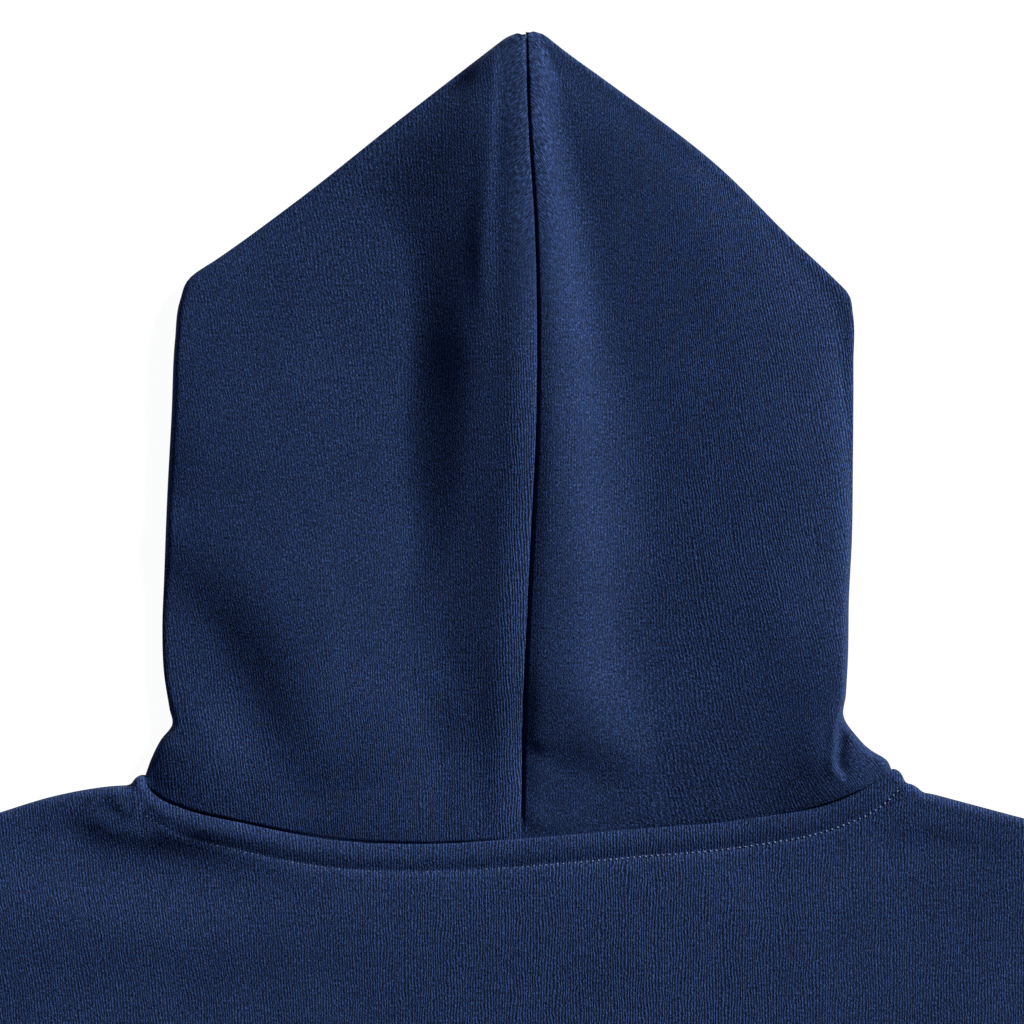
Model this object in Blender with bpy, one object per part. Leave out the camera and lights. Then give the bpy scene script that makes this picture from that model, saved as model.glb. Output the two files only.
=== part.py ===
"""Pullover hoodie lying flat on a table, back up and hood towards +Y.

Each cut and sewn piece is one closed wall of fleece or rib, lofted between an
outer and an inner grid of points. The front layers lie flat on z = 0 and the
back layers lie on them. A grid's rows run along the piece and its columns run
across it. Sizes are in millimetres and are turned to metres in cloth_solid.
The grids are laid out from the middle of the back neck seam; the object's
origin is on the table, NECK_ABOVE_ORIGIN further down, under the chest.
"""

import math

import bmesh
import bpy
import numpy as np

MM = 0.001
SHARP_ANGLE = math.radians(50)  # a steeper fold than this is shaded as an edge

# Cloth and seams
CLOTH = 2.2  # brushed fleece
RIB_CLOTH = 1.6  # rib knit between its raised ribs
HALF_SEAM = 0.15  # each side of a seam stands this far from the seam line
NECK_ABOVE_ORIGIN = 350.0

# Edge rolls: half the thickness of the two layers where the cloth turns under
HOOD_ROLL = 3.4
BODY_ROLL = 2.7
SLEEVE_ROLL = 3.0
RIB_ROLL = 2.9
LEAST_NECK_TURN = 0.2  # keeps a thickness at the ends of the body's neck edge

# Thickness of the two layers together where they lie quietly
HOOD_FLAT = 6.0
BODY_FLAT = 5.6
SLEEVE_FLAT = 6.0
RIB_FLAT = 5.2
LEAST_FLAT = 2 * CLOTH + 0.35
MOST_FLAT = 2 * CLOTH + 3.9

# Hood
RIDGE_HEIGHT = 2.2  # the centre seam stands up in a soft ridge
RIDGE_LEFT = (-42.0, -13.0)  # foot and crest of its steep side
RIDGE_RIGHT = (54.0, 9.0)  # foot and crest of its long side
SEAM_GROOVE = 1.0
SEAM_GROOVE_WIDTH = 2.4
RIDGE_LOSS = 0.3  # share of the ridge that is gone at the neck ...
RIDGE_LOSS_REACH = 60.0  # ... and back at this height above it
EDGE_PLUMP = 0.8
EDGE_PLUMP_WIDTH = 12.0
NECK_DIP = 1.1  # the hood dips into its neck seam
NECK_DIP_WIDTH = 3.5
ROLL_EASE = 20.0  # over this height the hood's edge goes over to the body's
FACE_FOOT = -60.0  # the hood opening, from the front neck seam ...
FACE_TOP = 262.0  # ... to its top under the peak
FACE_HALF_WIDTH = 32.0

# Neck band: the back's neck edge, rolled over the seam allowance
BAND_HEIGHT = 2.3
BAND_FULLNESS = 0.8  # power of its section: below 1 is plumper than a sine
STITCH_GROOVE = 0.7
STITCH_GROOVE_WIDTH = 1.5
# Its width, which runs out on the shoulder lines: across, from seam to topstitch
BAND_WIDTHS = np.array((
    (-157.4, 0.2),
    (-154.2, 10.0),
    (-150.0, 11.2),
    (130.0, 11.2),
    (147.6, 10.3),
    (150.8, 6.4),
    (153.2, 0.2),
))

# Body
SHOULDER_TIP = (275.0, -12.0)
WAISTBAND_HALF_WIDTHS = (268.0, 262.0, 264.0)
WAISTBAND_ROWS = (0.0, 14.0, 65.0)
WAIST_RIBS = 66

# Cuffs
CUFF_ROWS = (0.0, 12.0, 42.0, 70.0)
CUFF_WIDTHS = (100.0, 95.0, 92.0, 96.0)
CUFF_RIBS = 20
RIB_RAISE = 0.8
UNDER_RIBS = 22  # the lower layer has a column for every so many half ribs

# Middle seam of the hood: height above the neck seam, and place across
CENTRE_SEAM = np.array((
    (0.0, -0.4),
    (50.0, 0.4),
    (106.0, 2.8),
    (164.0, 5.6),
    (200.0, 6.0),
    (240.0, 5.2),
    (290.0, 2.2),
    (324.0, 1.0),
))

# Hood and body meet on this line, from the middle to each end: across, up
NECK_LEFT = (
    (-0.4, 0.0),
    (-42.0, -2.0),
    (-79.6, 0.0),
    (-112.0, 6.4),
    (-136.4, 12.4),
    (-144.8, 16.0),
    (-150.0, 20.8),
    (-151.2, 25.2),
)
NECK_RIGHT = (
    (-0.4, 0.0),
    (40.8, 3.6),
    (87.6, 8.0),
    (120.4, 14.4),
    (140.8, 23.2),
    (147.6, 27.6),
)
FRONT_NECK_DEPTHS = ((0.0, 0.0), (0.02, 0.3), (0.12, 0.59), (0.34, 0.83), (0.66, 0.96), (1.0, 1.0))

# Outline of the hood, from the neck seam to the peak: across, up
HOOD_EDGE_LEFT = np.array((
    (-151.2, 25.2),
    (-148.6, 32.4),
    (-144.8, 39.8),
    (-140.4, 45.6),
    (-141.4, 52.0),
    (-143.6, 66.0),
    (-144.3, 84.0),
    (-143.6, 104.0),
    (-142.4, 136.0),
    (-140.6, 170.0),
    (-139.2, 200.0),
    (-137.2, 215.5),
    (-132.8, 225.0),
    (-122.4, 232.0),
    (-90.0, 255.6),
    (-49.6, 287.6),
    (-16.8, 312.8),
    (-8.6, 319.0),
    (-3.6, 322.0),
))
HOOD_EDGE_RIGHT = np.array((
    (147.6, 27.6),
    (144.8, 32.2),
    (140.0, 35.0),
    (132.8, 42.0),
    (128.6, 48.0),
    (129.2, 58.0),
    (130.0, 72.0),
    (130.4, 96.0),
    (131.6, 120.0),
    (132.0, 150.0),
    (132.2, 190.0),
    (132.0, 210.0),
    (130.0, 218.4),
    (124.8, 223.8),
    (108.0, 239.6),
    (75.2, 271.6),
    (32.8, 303.6),
    (14.0, 317.6),
    (7.6, 322.0),
))

# Rows of the hood: height at the centre seam and at the left and right edges,
# then the width and depth of the pleat at the right edge's foot
HOOD_ROWS = (
    (0.0, 25.2, 27.6, 17.0, 0.3),
    (7.0, 29.5, 31.5, 18.5, 1.5),
    (15.0, 34.5, 36.5, 13.0, 2.0),
    (23.5, 40.0, 41.8, 8.0, 1.6),
    (32.0, 45.6, 47.0, 7.0, 0.4),
    (42.0, 52.0, 52.0, 7.0, 0.0),
    (58.0, 63.0, 63.0, 7.0, 0.0),
    (81.0, 82.0, 82.0, 7.0, 0.0),
    (106.0, 106.0, 106.0, 7.0, 0.0),
    (136.0, 136.0, 136.0, 7.0, 0.0),
    (166.0, 166.0, 166.0, 7.0, 0.0),
    (193.0, 193.0, 193.0, 7.0, 0.0),
    (210.0, 210.0, 210.0, 7.0, 0.0),
    (218.4, 218.4, 218.4, 7.0, 0.0),
    (225.0, 225.0, 225.0, 7.0, 0.0),
    (233.0, 233.0, 233.0, 7.0, 0.0),
    (250.0, 250.0, 250.0, 7.0, 0.0),
    (271.0, 271.0, 271.0, 7.0, 0.0),
    (290.0, 290.0, 290.0, 7.0, 0.0),
    (305.0, 305.0, 305.0, 7.0, 0.0),
    (314.0, 314.0, 314.0, 7.0, 0.0),
    (319.0, 319.0, 319.0, 7.0, 0.0),
    (321.6, 321.6, 321.6, 7.0, 0.0),
)
NECK_SHARES = (0.0, 0.14, 0.26, 0.39, 0.54, 0.7, 0.86)
SEAM_SIDE_SHARE = 0.05  # one more column beside the centre seam, in the hood only
EDGE_STEPS = (3.6, 1.7, 0.5, 0.0)  # columns over an edge roll, from the edge
PLEAT_STEP = 2.2  # from the lip of the pleat down to its foot
PLAIN_LIP = 7.0  # where that column runs on an edge with no pleat
MOST_EDGE_SHARE = 0.72  # of a narrow row, for its pleat and edge columns
MOST_FRONT_EDGE_SHARE = 0.4
FRONT_SHARES = (0.25, 0.5, 0.75, 1.0)

# Shoulder lines from the neck band's end to the tip: across, up
SHOULDER_LEFT = (
    (-154.2, 24.2),
    (-157.4, 21.4),
    (-169.2, 20.2),
    (-188.0, 16.8),
    (-209.2, 10.4),
    (-240.0, 0.2),
    (-271.4, -10.8),
    (-273.8, -11.6),
    (-275.0, -12.0),
)
SHOULDER_RIGHT = (
    (150.8, 26.4),
    (153.2, 22.4),
    (157.0, 21.2),
    (160.2, 18.6),
    (174.8, 14.8),
    (198.8, 8.4),
    (235.0, -0.6),
    (271.4, -10.8),
    (273.8, -11.6),
    (275.0, -12.0),
)

# Rows of the body: drop below the shoulder and neck line, half width at the side
ARMHOLE_ROWS = (
    (0.0, 275.0),
    (1.2, 275.0),
    (3.5, 275.0),
    (7.0, 275.0),
    (10.4, 275.0),
    (11.6, 275.0),
    (14.0, 275.0),
    (24.0, 275.0),
    (50.0, 273.0),
    (95.0, 268.0),
    (150.0, 268.0),
    (205.0, 280.0),
    (241.0, 297.5),
    (245.0, 300.0),
)
SIDE_ROWS = (
    (249.0, 300.0),
    (330.0, 297.0),
    (450.0, 292.0),
    (560.0, 288.0),
    (618.0, 281.0),
    (640.0, 268.0),
)
BODY_ROWS = ARMHOLE_ROWS + SIDE_ROWS
PLAIN_SKIPS = (7.0, 10.4, 11.6)  # rows that only the neck band needs
PARALLEL_DROP = 24.0  # down to here rows run parallel to the neck ...
LEVEL_DROP = 245.0  # ... and from here on they are level

# Sleeve edges from the body to the cuff: across, up
SLEEVE_TOP = (
    SHOULDER_TIP,
    (318.0, -34.0),
    (375.0, -75.0),
    (450.0, -138.0),
    (540.0, -217.0),
    (620.0, -289.0),
    (661.0, -328.0),
    (677.0, -345.0),
    (685.7, -360.7),
)
SLEEVE_UNDER = (
    (300.0, -257.0),
    (335.0, -284.0),
    (400.0, -323.0),
    (490.0, -372.0),
    (560.0, -411.0),
    (592.0, -428.5),
    (608.0, -434.5),
    (621.3, -437.3),
)
SLEEVE_STATIONS = (0.0, 0.12, 0.27, 0.44, 0.62, 0.8, 0.92, 0.97, 1.0)

NAVY = (0.028, 0.050, 0.135, 1.0)
NAVY_RIB = (0.024, 0.044, 0.120, 1.0)


def along(points, shares):
    """Points at these shares of the length of a smooth curve through points."""
    points = np.array(points, float)
    place = np.r_[0, np.cumsum(np.linalg.norm(np.diff(points, axis=0), axis=1))]
    slope = np.gradient(points, place, axis=0)
    at = np.asarray(shares, float) * place[-1]
    i = np.clip(np.searchsorted(place, at, side="right") - 1, 0, len(place) - 2)
    span = (place[i + 1] - place[i])[:, None]
    t = (at - place[i])[:, None] / span
    return (
        (1 + 2 * t) * (1 - t) ** 2 * points[i]
        + t * (1 - t) ** 2 * span * slope[i]
        + t**2 * (3 - 2 * t) * points[i + 1]
        + t**2 * (t - 1) * span * slope[i + 1]
    )


def beside(points, distance):
    """The line moved sideways, to the left of its travel."""
    heading = np.gradient(points, axis=0)
    heading /= np.linalg.norm(heading, axis=1)[:, None]
    return points + distance * np.stack([-heading[:, 1], heading[:, 0]], axis=1)


def ease(value, start, end):
    """0 at start, 1 at end, with level ends."""
    t = np.clip((value - start) / (end - start), 0, 1)
    return t * t * (3 - 2 * t)


def to_edges(xy, edges):
    """Each point's distance to the nearest edge line, and the way out there.

    An edge is a line of points and the side it faces: 1 for the right of its
    travel and -1 for the left.
    """
    distance = np.full(xy.shape[:-1], np.inf)
    outward = np.zeros_like(xy)
    for line, side in edges:
        start, span = line[:-1], np.diff(line, axis=0)
        size = (span**2).sum(axis=1)
        t = ((xy[..., None, :] - start) * span).sum(axis=-1) / size
        foot = start + np.clip(t, 0, 1)[..., None] * span
        gap = np.linalg.norm(xy[..., None, :] - foot, axis=-1)
        nearest = gap.argmin(axis=-1)
        gap = gap.min(axis=-1)
        facing = side * np.stack([span[:, 1], -span[:, 0]], axis=1)
        facing /= np.sqrt(size)[:, None]
        closer = gap < distance
        distance = np.where(closer, gap, distance)
        outward = np.where(closer[..., None], facing[nearest], outward)
    return distance, outward


def layer(xy, top, roll, distance, outward, cloth=CLOTH, split=0.0):
    """Outer and inner points of one layer whose wall turns at the garment's edge.

    top is the height of an upper layer's outer side, and None for a layer that
    lies on the table. The wall ends split above or below the middle of the roll.
    """
    share = np.minimum(distance, roll) / roll
    turned = np.sqrt(np.clip(1 - (1 - share) ** 2, 0, 1))
    if top is None:
        middle, outer_level, inner_level = roll - split, 0.0, cloth
    else:
        middle, outer_level, inner_level = roll + split, top, top - cloth
    outer_z = middle + (outer_level - middle) * turned
    inner_z = middle + (inner_level - middle) * turned
    inner_xy = xy - outward * (cloth * (1 - share))[..., None]
    return (
        np.concatenate([xy, outer_z[..., None]], axis=-1),
        np.concatenate([inner_xy, inner_z[..., None]], axis=-1),
    )


def cloth_solid(name, outer, inner, material, collection, ring=False):
    """A closed wall between two grids, each rows by columns by xyz."""
    rows, columns = outer.shape[:2]
    spans = columns if ring else columns - 1
    points = np.concatenate([outer.reshape(-1, 3), inner.reshape(-1, 3)])
    points = (points + (0, NECK_ABOVE_ORIGIN, 0)) * MM

    def corner(side, row, column):
        return (side * rows + row) * columns + column % columns

    faces = []
    for row in range(rows - 1):
        for column in range(spans):
            for side in (0, 1):
                faces.append((
                    corner(side, row, column),
                    corner(side, row, column + 1),
                    corner(side, row + 1, column + 1),
                    corner(side, row + 1, column),
                ))
    for row in (0, rows - 1):
        for column in range(spans):
            faces.append((
                corner(0, row, column),
                corner(0, row, column + 1),
                corner(1, row, column + 1),
                corner(1, row, column),
            ))
    for column in () if ring else (0, columns - 1):
        for row in range(rows - 1):
            faces.append((
                corner(0, row, column),
                corner(0, row + 1, column),
                corner(1, row + 1, column),
                corner(1, row, column),
            ))

    mesh = bpy.data.meshes.new(name)
    mesh.from_pydata(points.tolist(), [], faces)
    shaped = bmesh.new()
    shaped.from_mesh(mesh)
    bmesh.ops.recalc_face_normals(shaped, faces=shaped.faces)
    shaped.to_mesh(mesh)
    shaped.free()
    mesh.shade_smooth()
    mesh.set_sharp_from_angle(angle=SHARP_ANGLE)
    mesh.materials.append(material)
    piece = bpy.data.objects.new(name, mesh)
    collection.objects.link(piece)
    return piece


def finish(name, colour, roughness):
    """A plain cloth material."""
    material = bpy.data.materials.new(name)
    material.use_nodes = True
    shader = material.node_tree.nodes["Principled BSDF"]
    shader.inputs["Base Color"].default_value = colour
    shader.inputs["Roughness"].default_value = roughness
    shader.inputs["Metallic"].default_value = 0.0
    return material


def edge_at(edge, height):
    """The point of a hood outline at this height."""
    return np.array((np.interp(height, edge[:, 1], edge[:, 0]), height))


def neck_shares(length, lip):
    """Shares of the way from the centre seam to the edge, one for each column."""
    squeeze = min(1.0, MOST_EDGE_SHARE * length / lip)
    near_edge = 1 - squeeze * np.array((lip, lip - PLEAT_STEP) + EDGE_STEPS) / length
    return np.r_[near_edge[0] * np.array(NECK_SHARES), near_edge]


def front_shares(length):
    """Shares of the way from the edge to the middle of the front."""
    squeeze = min(1.0, MOST_FRONT_EDGE_SHARE * length / EDGE_STEPS[0])
    near_edge = squeeze * np.array(EDGE_STEPS[-2::-1]) / length
    return np.r_[near_edge, near_edge[-1] + (1 - near_edge[-1]) * np.array(FRONT_SHARES)]


def front_neck(edge_end):
    """The front neck seam, from the shoulder to the middle front.

    FRONT_NECK_DEPTHS gives shares of its width and of its depth.
    """
    width = abs(edge_end[0]) - HALF_SEAM
    drop = edge_end[1] - FACE_FOOT
    return [
        (edge_end[0] - math.copysign(width * across, edge_end[0]), edge_end[1] - drop * down)
        for across, down in FRONT_NECK_DEPTHS
    ]


def seam_x(height):
    """Place of the hood's centre seam at this height."""
    return np.interp(height, CENTRE_SEAM[:, 0], CENTRE_SEAM[:, 1])


def hood_height(xy, above_neck, from_edge, pleat):
    """Height of the hood's upper side where the wall lies open."""
    across = xy[..., 0] - seam_x(xy[..., 1])
    ridge = ease(across, *RIDGE_LEFT) * ease(across, *RIDGE_RIGHT)
    ridge *= RIDGE_HEIGHT * (1 - RIDGE_LOSS * ease(above_neck, RIDGE_LOSS_REACH, 0.0))
    groove = SEAM_GROOVE * np.exp(-((across / SEAM_GROOVE_WIDTH) ** 2))
    plump = EDGE_PLUMP * np.exp(-((from_edge / EDGE_PLUMP_WIDTH) ** 2))
    dip = NECK_DIP * np.exp(-((above_neck / NECK_DIP_WIDTH) ** 2))
    height = HOOD_FLAT + ridge - groove + plump - dip - pleat
    return np.clip(height, LEAST_FLAT, MOST_FLAT)


def hood_back_row(side, row, end):
    """One row over the hood's upper layer, and its height above the neck seam."""
    centre_y, _, _, pleat_width, _ = row
    neck = NECK_LEFT if side < 0 else NECK_RIGHT
    start_x = seam_x(centre_y) + side * HALF_SEAM
    lip = pleat_width if side > 0 else PLAIN_LIP
    shares = neck_shares(abs(end[0] - start_x), lip)
    shares = np.sort(np.r_[shares, SEAM_SIDE_SHARE * shares[len(NECK_SHARES)]])
    bow = (end[1] - centre_y) / neck[-1][1]
    line = along(neck, shares)
    neck_across = (line[:, 0] - neck[0][0]) / (neck[-1][0] - neck[0][0])
    x = start_x + (end[0] - start_x) * (shares + (neck_across - shares) * bow)
    y = centre_y + line[:, 1] * bow
    y[-1] = end[1]
    above_neck = centre_y * (1 - shares) + (end[1] - neck[-1][1]) * shares
    return np.stack([x, y], axis=1), above_neck


def hood_front_row(side, row, end):
    """One row over the hood's lower layer, from the edge to the face opening."""
    centre_y = row[0]
    neck_end = (NECK_LEFT if side < 0 else NECK_RIGHT)[-1]
    bow = (end[1] - centre_y) / neck_end[1]
    up_face = np.clip((end[1] - FACE_FOOT) / (FACE_TOP - FACE_FOOT), 0, 1)
    opening = FACE_HALF_WIDTH * math.sin(math.pi * up_face)
    face_x = side * HALF_SEAM + (side * opening + seam_x(centre_y)) * (1 - bow)
    shares = front_shares(abs(end[0] - face_x))
    front_line = front_neck(neck_end)
    line = along(front_line, shares)
    depth = neck_end[1] - line[:, 1]
    across = (line[:, 0] - neck_end[0]) / (front_line[-1][0] - neck_end[0])
    x = end[0] + (face_x - end[0]) * (shares + (across - shares) * bow)
    return np.stack([x, end[1] - depth * bow], axis=1)


def hood_panel(side):
    """Outer and inner grids of one hood panel; side is -1 left and 1 right."""
    edge = HOOD_EDGE_LEFT if side < 0 else HOOD_EDGE_RIGHT
    ends = [edge_at(edge, row[1] if side < 0 else row[2]) for row in HOOD_ROWS]
    upper = [hood_back_row(side, row, end) for row, end in zip(HOOD_ROWS, ends)]
    back = np.array([xy for xy, _ in upper])
    above_neck = np.array([above for _, above in upper])
    front = np.array([hood_front_row(side, row, end) for row, end in zip(HOOD_ROWS, ends)])
    in_pleat = np.arange(back.shape[1]) > len(NECK_SHARES) + 1
    depths = np.array([row[4] for row in HOOD_ROWS])[:, None]
    pleats = in_pleat * depths * (side > 0)

    back[0] = beside(back[0], side * HALF_SEAM)
    front[0] = beside(front[0], -side * HALF_SEAM)
    front[0, -1, 0] = side * HALF_SEAM
    outline = [(back[:, -1], side)]
    up_edge = back[:, -1:, 1] - edge[0, 1]
    roll = BODY_ROLL + (HOOD_ROLL - BODY_ROLL) * ease(up_edge, 0.0, ROLL_EASE)
    turn = len(EDGE_STEPS) - 1
    grids = []
    for xy, inside in ((back, back[0, -1 - turn]), (front, front[0, turn])):
        distance, outward = to_edges(xy, outline)
        top = None
        if xy is back:
            distance[:, -1] = 0
            top = hood_height(xy, above_neck, distance, pleats)
        along_row = back[0, -1] - inside
        outward[0] = along_row / np.linalg.norm(along_row)
        grids.append(layer(xy, top, roll, distance, outward))
    return join_layers(grids)


def body_rows(top_line, rows):
    """The body's grid of places under a neck and shoulder line."""
    grid = []
    tip_x, tip_y = SHOULDER_TIP
    for drop, half_width in rows:
        level = ease(drop, PARALLEL_DROP, LEVEL_DROP)
        y = (top_line[:, 1] - drop) * (1 - level) + (tip_y - drop) * level
        grid.append(np.stack([top_line[:, 0] * half_width / tip_x, y], axis=1))
    return np.array(grid)


def neck_half(side, as_front):
    """Half of the body's neck line, from the middle to the shoulder."""
    neck = NECK_LEFT if side < 0 else NECK_RIGHT
    if as_front:
        line = np.array(front_neck(np.array(neck[-1])))
        start = side * HALF_SEAM
        points = along(line, front_shares(abs(line[0, 0] - start)))
        points = np.vstack([line[:1], points])
        return beside(points, side * HALF_SEAM)[::-1]
    lip = HOOD_ROWS[0][3] if side > 0 else PLAIN_LIP
    start_x = seam_x(0.0) + side * HALF_SEAM
    points = along(neck, neck_shares(abs(neck[-1][0] - start_x), lip))
    return beside(points, -side * HALF_SEAM)


def body_panel(as_front):
    """Outer and inner grids of the front or the back."""
    left, right = neck_half(-1, as_front), neck_half(1, as_front)
    middle = (left[:1] + right[:1]) / 2
    top_line = np.concatenate([
        np.array(SHOULDER_LEFT)[::-1],
        left[:0:-1],
        middle,
        right[1:],
        np.array(SHOULDER_RIGHT),
    ])
    rows = [row for row in BODY_ROWS if not (as_front and row[0] in PLAIN_SKIPS)]
    xy = body_rows(top_line, rows)
    on_armhole = np.array([row in ARMHOLE_ROWS for row in rows])
    last_armhole = int(on_armhole.sum()) - 1

    # The armhole's side of the seam
    for column, side in ((0, -1), (-1, 1)):
        arm_line = beside(xy[: last_armhole + 1, column], -side * HALF_SEAM)
        xy[1 : last_armhole + 1, column] = arm_line[1:]
        xy[0, column, 0] -= side * HALF_SEAM
    xy[-1, :, 1] += HALF_SEAM

    first_neck, last_neck = len(SHOULDER_LEFT), len(top_line) - len(SHOULDER_RIGHT)
    shoulders = [
        (xy[0, : first_neck + 1], -1),
        (xy[0, last_neck - 1 :], -1),
    ]
    sides = [(xy[last_armhole:, 0], 1), (xy[last_armhole:, -1], -1)]
    distance, outward = to_edges(xy, shoulders + sides)
    distance[0, :first_neck] = 0
    distance[0, last_neck:] = 0
    distance[last_armhole:, 0] = 0
    distance[last_armhole:, -1] = 0

    # Where the wall ends on another piece's seam it ends upright
    neck_distance = distance[0, first_neck:last_neck]
    distance[0, first_neck:last_neck] = np.maximum(neck_distance, LEAST_NECK_TURN)
    outward[0, first_neck:last_neck] = 0
    for column in (0, -1):
        outward[1:last_armhole, column, 0] = 0
        outward[0, column] = (0, 1)
    outward[-1, :, 1] = 0

    if as_front:
        return layer(xy, None, BODY_ROLL, distance, outward, split=HALF_SEAM)
    drops = np.array([row[0] for row in rows])[:, None]
    band_width = np.interp(xy[..., 0], BAND_WIDTHS[:, 0], BAND_WIDTHS[:, 1])
    inside_band = np.clip(drops / band_width, 0, 1)
    band = BAND_HEIGHT * np.sin(math.pi * inside_band) ** BAND_FULLNESS
    near_neck = band_width / BAND_WIDTHS[:, 1].max()
    past_band = (drops - band_width) / STITCH_GROOVE_WIDTH
    groove = STITCH_GROOVE * near_neck * np.exp(-(past_band**2))
    height = BODY_FLAT + band * np.sqrt(near_neck) - groove
    height = np.clip(height, LEAST_FLAT, MOST_FLAT)
    return layer(xy, height, BODY_ROLL, distance, outward, split=HALF_SEAM)


def join_layers(grids):
    """The upper layer's columns and then the lower layer's, outer and inner."""
    return tuple(np.concatenate(sides, axis=1) for sides in zip(*grids))


def tube(lines, flat, roll, cloth, skip=1):
    """Outer and inner grids of a flattened tube.

    lines holds, for each row, the points across its upper layer, from one fold
    to the other. The lower layer comes back over the same places, between the
    edge rolls over every skip-th one. A tube that skips places is ribbed on top.
    """
    top = np.array(lines)
    last, turn = top.shape[1] - 1, len(EDGE_STEPS) - 1
    under = np.r_[1:turn, turn : last - turn : skip, last - turn : last]
    bottom = top[:, under[::-1]]
    edges = [(top[:, 0], -1), (top[:, -1], 1)]
    height = np.full(top.shape[:-1], flat)
    grids = []
    for xy, level in ((top, height), (bottom, None)):
        distance, outward = to_edges(xy, edges)
        if level is not None:
            distance[:, 0] = distance[:, -1] = 0
        heading = np.gradient(xy, axis=1) * (1 if level is not None else -1)
        heading /= np.linalg.norm(heading, axis=2)[..., None]
        first_half = np.arange(xy.shape[1]) < xy.shape[1] / 2
        if level is None:
            first_half = ~first_half
        along_row = np.where(first_half[:, None], -heading, heading)
        for row in (0, -1):
            outward[row] = along_row[row]
        grids.append(layer(xy, level, roll, distance, outward, cloth))
    outer, inner = join_layers(grids)
    if skip > 1:
        outer[:, len(EDGE_STEPS) : last - turn : 2, 2] += RIB_RAISE
    return outer, inner


def rib_shares(width, ribs):
    """Shares across a band, over its edge rolls and over each of its ribs."""
    steps = np.array(EDGE_STEPS[::-1]) / width
    between = np.linspace(steps[-1], 1 - steps[-1], 2 * ribs + 1)[1:-1]
    return np.r_[steps, between, 1 - steps[::-1]]


def straight(start, end, shares):
    """Points at these shares of a straight line."""
    start, end = np.array(start, float), np.array(end, float)
    return start + (end - start) * np.asarray(shares)[:, None]


def sleeve():
    """Grids of the right sleeve, and the line of its cuff seam."""
    armhole = np.array([(width, SHOULDER_TIP[1] - drop) for drop, width in ARMHOLE_ROWS])
    first = beside(armhole, HALF_SEAM)
    first[0] = armhole[0] + (HALF_SEAM, 0)
    first = first[[drop not in PLAIN_SKIPS for drop, _ in ARMHOLE_ROWS]]
    under_steps = np.array(EDGE_STEPS[1:-1])[:, None]
    last_span = first[-2] - first[-1]
    last_span /= np.linalg.norm(last_span)
    first = np.vstack([first[:-1], first[-1] + last_span * under_steps, first[-1:]])
    place = np.r_[0, np.cumsum(np.linalg.norm(np.diff(first, axis=0), axis=1))]

    tops = along(SLEEVE_TOP, SLEEVE_STATIONS)
    unders = along(SLEEVE_UNDER, SLEEVE_STATIONS)
    lines = [first]
    for station, start, end in zip(SLEEVE_STATIONS[1:], tops[1:], unders[1:]):
        width = np.linalg.norm(end - start)
        inside = place[3:-4]
        middle = (inside - place[2]) / (place[-4] - place[2])
        near_top = place[:3]
        near_under = width - (place[-1] - place[-4:])
        reach = near_top[-1] + middle * (near_under[0] - near_top[-1])
        lines.append(straight(start, end, np.r_[near_top, reach, near_under] / width))
        lines[-1] += (first - straight(first[0], first[-1], place / place[-1])) * (1 - station) ** 2
    heading = cuff_heading()
    lines[-1] -= heading * HALF_SEAM
    return tube(lines, SLEEVE_FLAT, SLEEVE_ROLL, CLOTH)


def cuff_heading():
    """The way the cuff points, square to its seam."""
    across = np.array(SLEEVE_TOP[-1]) - np.array(SLEEVE_UNDER[-1])
    across /= np.linalg.norm(across)
    return np.array((across[1], -across[0]))


def cuff():
    """Grids of the right cuff."""
    heading = cuff_heading()
    across = np.array((-heading[1], heading[0]))
    middle = (np.array(SLEEVE_TOP[-1]) + np.array(SLEEVE_UNDER[-1])) / 2
    shares = rib_shares(CUFF_WIDTHS[0], CUFF_RIBS)
    lines = []
    for row, width in zip(CUFF_ROWS, CUFF_WIDTHS):
        centre = middle + heading * max(row, HALF_SEAM)
        lines.append(straight(centre + across * width / 2, centre - across * width / 2, shares))
    return tube(lines, RIB_FLAT, RIB_ROLL, RIB_CLOTH, UNDER_RIBS)


def waistband():
    """Grids of the ribbed band round the hem."""
    hem_y = SHOULDER_TIP[1] - BODY_ROWS[-1][0]
    shares = rib_shares(2 * WAISTBAND_HALF_WIDTHS[0], WAIST_RIBS)
    lines = []
    for row, half_width in zip(WAISTBAND_ROWS, WAISTBAND_HALF_WIDTHS):
        y = hem_y - max(row, HALF_SEAM)
        lines.append(straight((half_width, y), (-half_width, y), shares))
    return tube(lines, RIB_FLAT, RIB_ROLL, RIB_CLOTH, UNDER_RIBS)


def mirrored(grids):
    """The same grids on the other side of the middle."""
    return tuple(grid * (-1, 1, 1) for grid in grids)


def main():
    """Clears the scene and models each piece."""
    for piece in list(bpy.data.objects):
        bpy.data.objects.remove(piece, do_unlink=True)
    collection = bpy.data.collections.new("pullover_hoodie")
    bpy.context.scene.collection.children.link(collection)

    fleece = finish("navy_fleece", NAVY, 0.95)
    rib = finish("navy_rib", NAVY_RIB, 0.9)
    sleeve_grids, cuff_grids = sleeve(), cuff()
    pieces = (
        ("hood_left", hood_panel(-1), fleece, False),
        ("hood_right", hood_panel(1), fleece, False),
        ("back", body_panel(False), fleece, False),
        ("front", body_panel(True), fleece, False),
        ("sleeve_right", sleeve_grids, fleece, True),
        ("sleeve_left", mirrored(sleeve_grids), fleece, True),
        ("cuff_right", cuff_grids, rib, True),
        ("cuff_left", mirrored(cuff_grids), rib, True),
        ("waistband", waistband(), rib, True),
    )
    for name, (outer, inner), material, ring in pieces:
        cloth_solid(name, outer, inner, material, collection, ring)


main()
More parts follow.
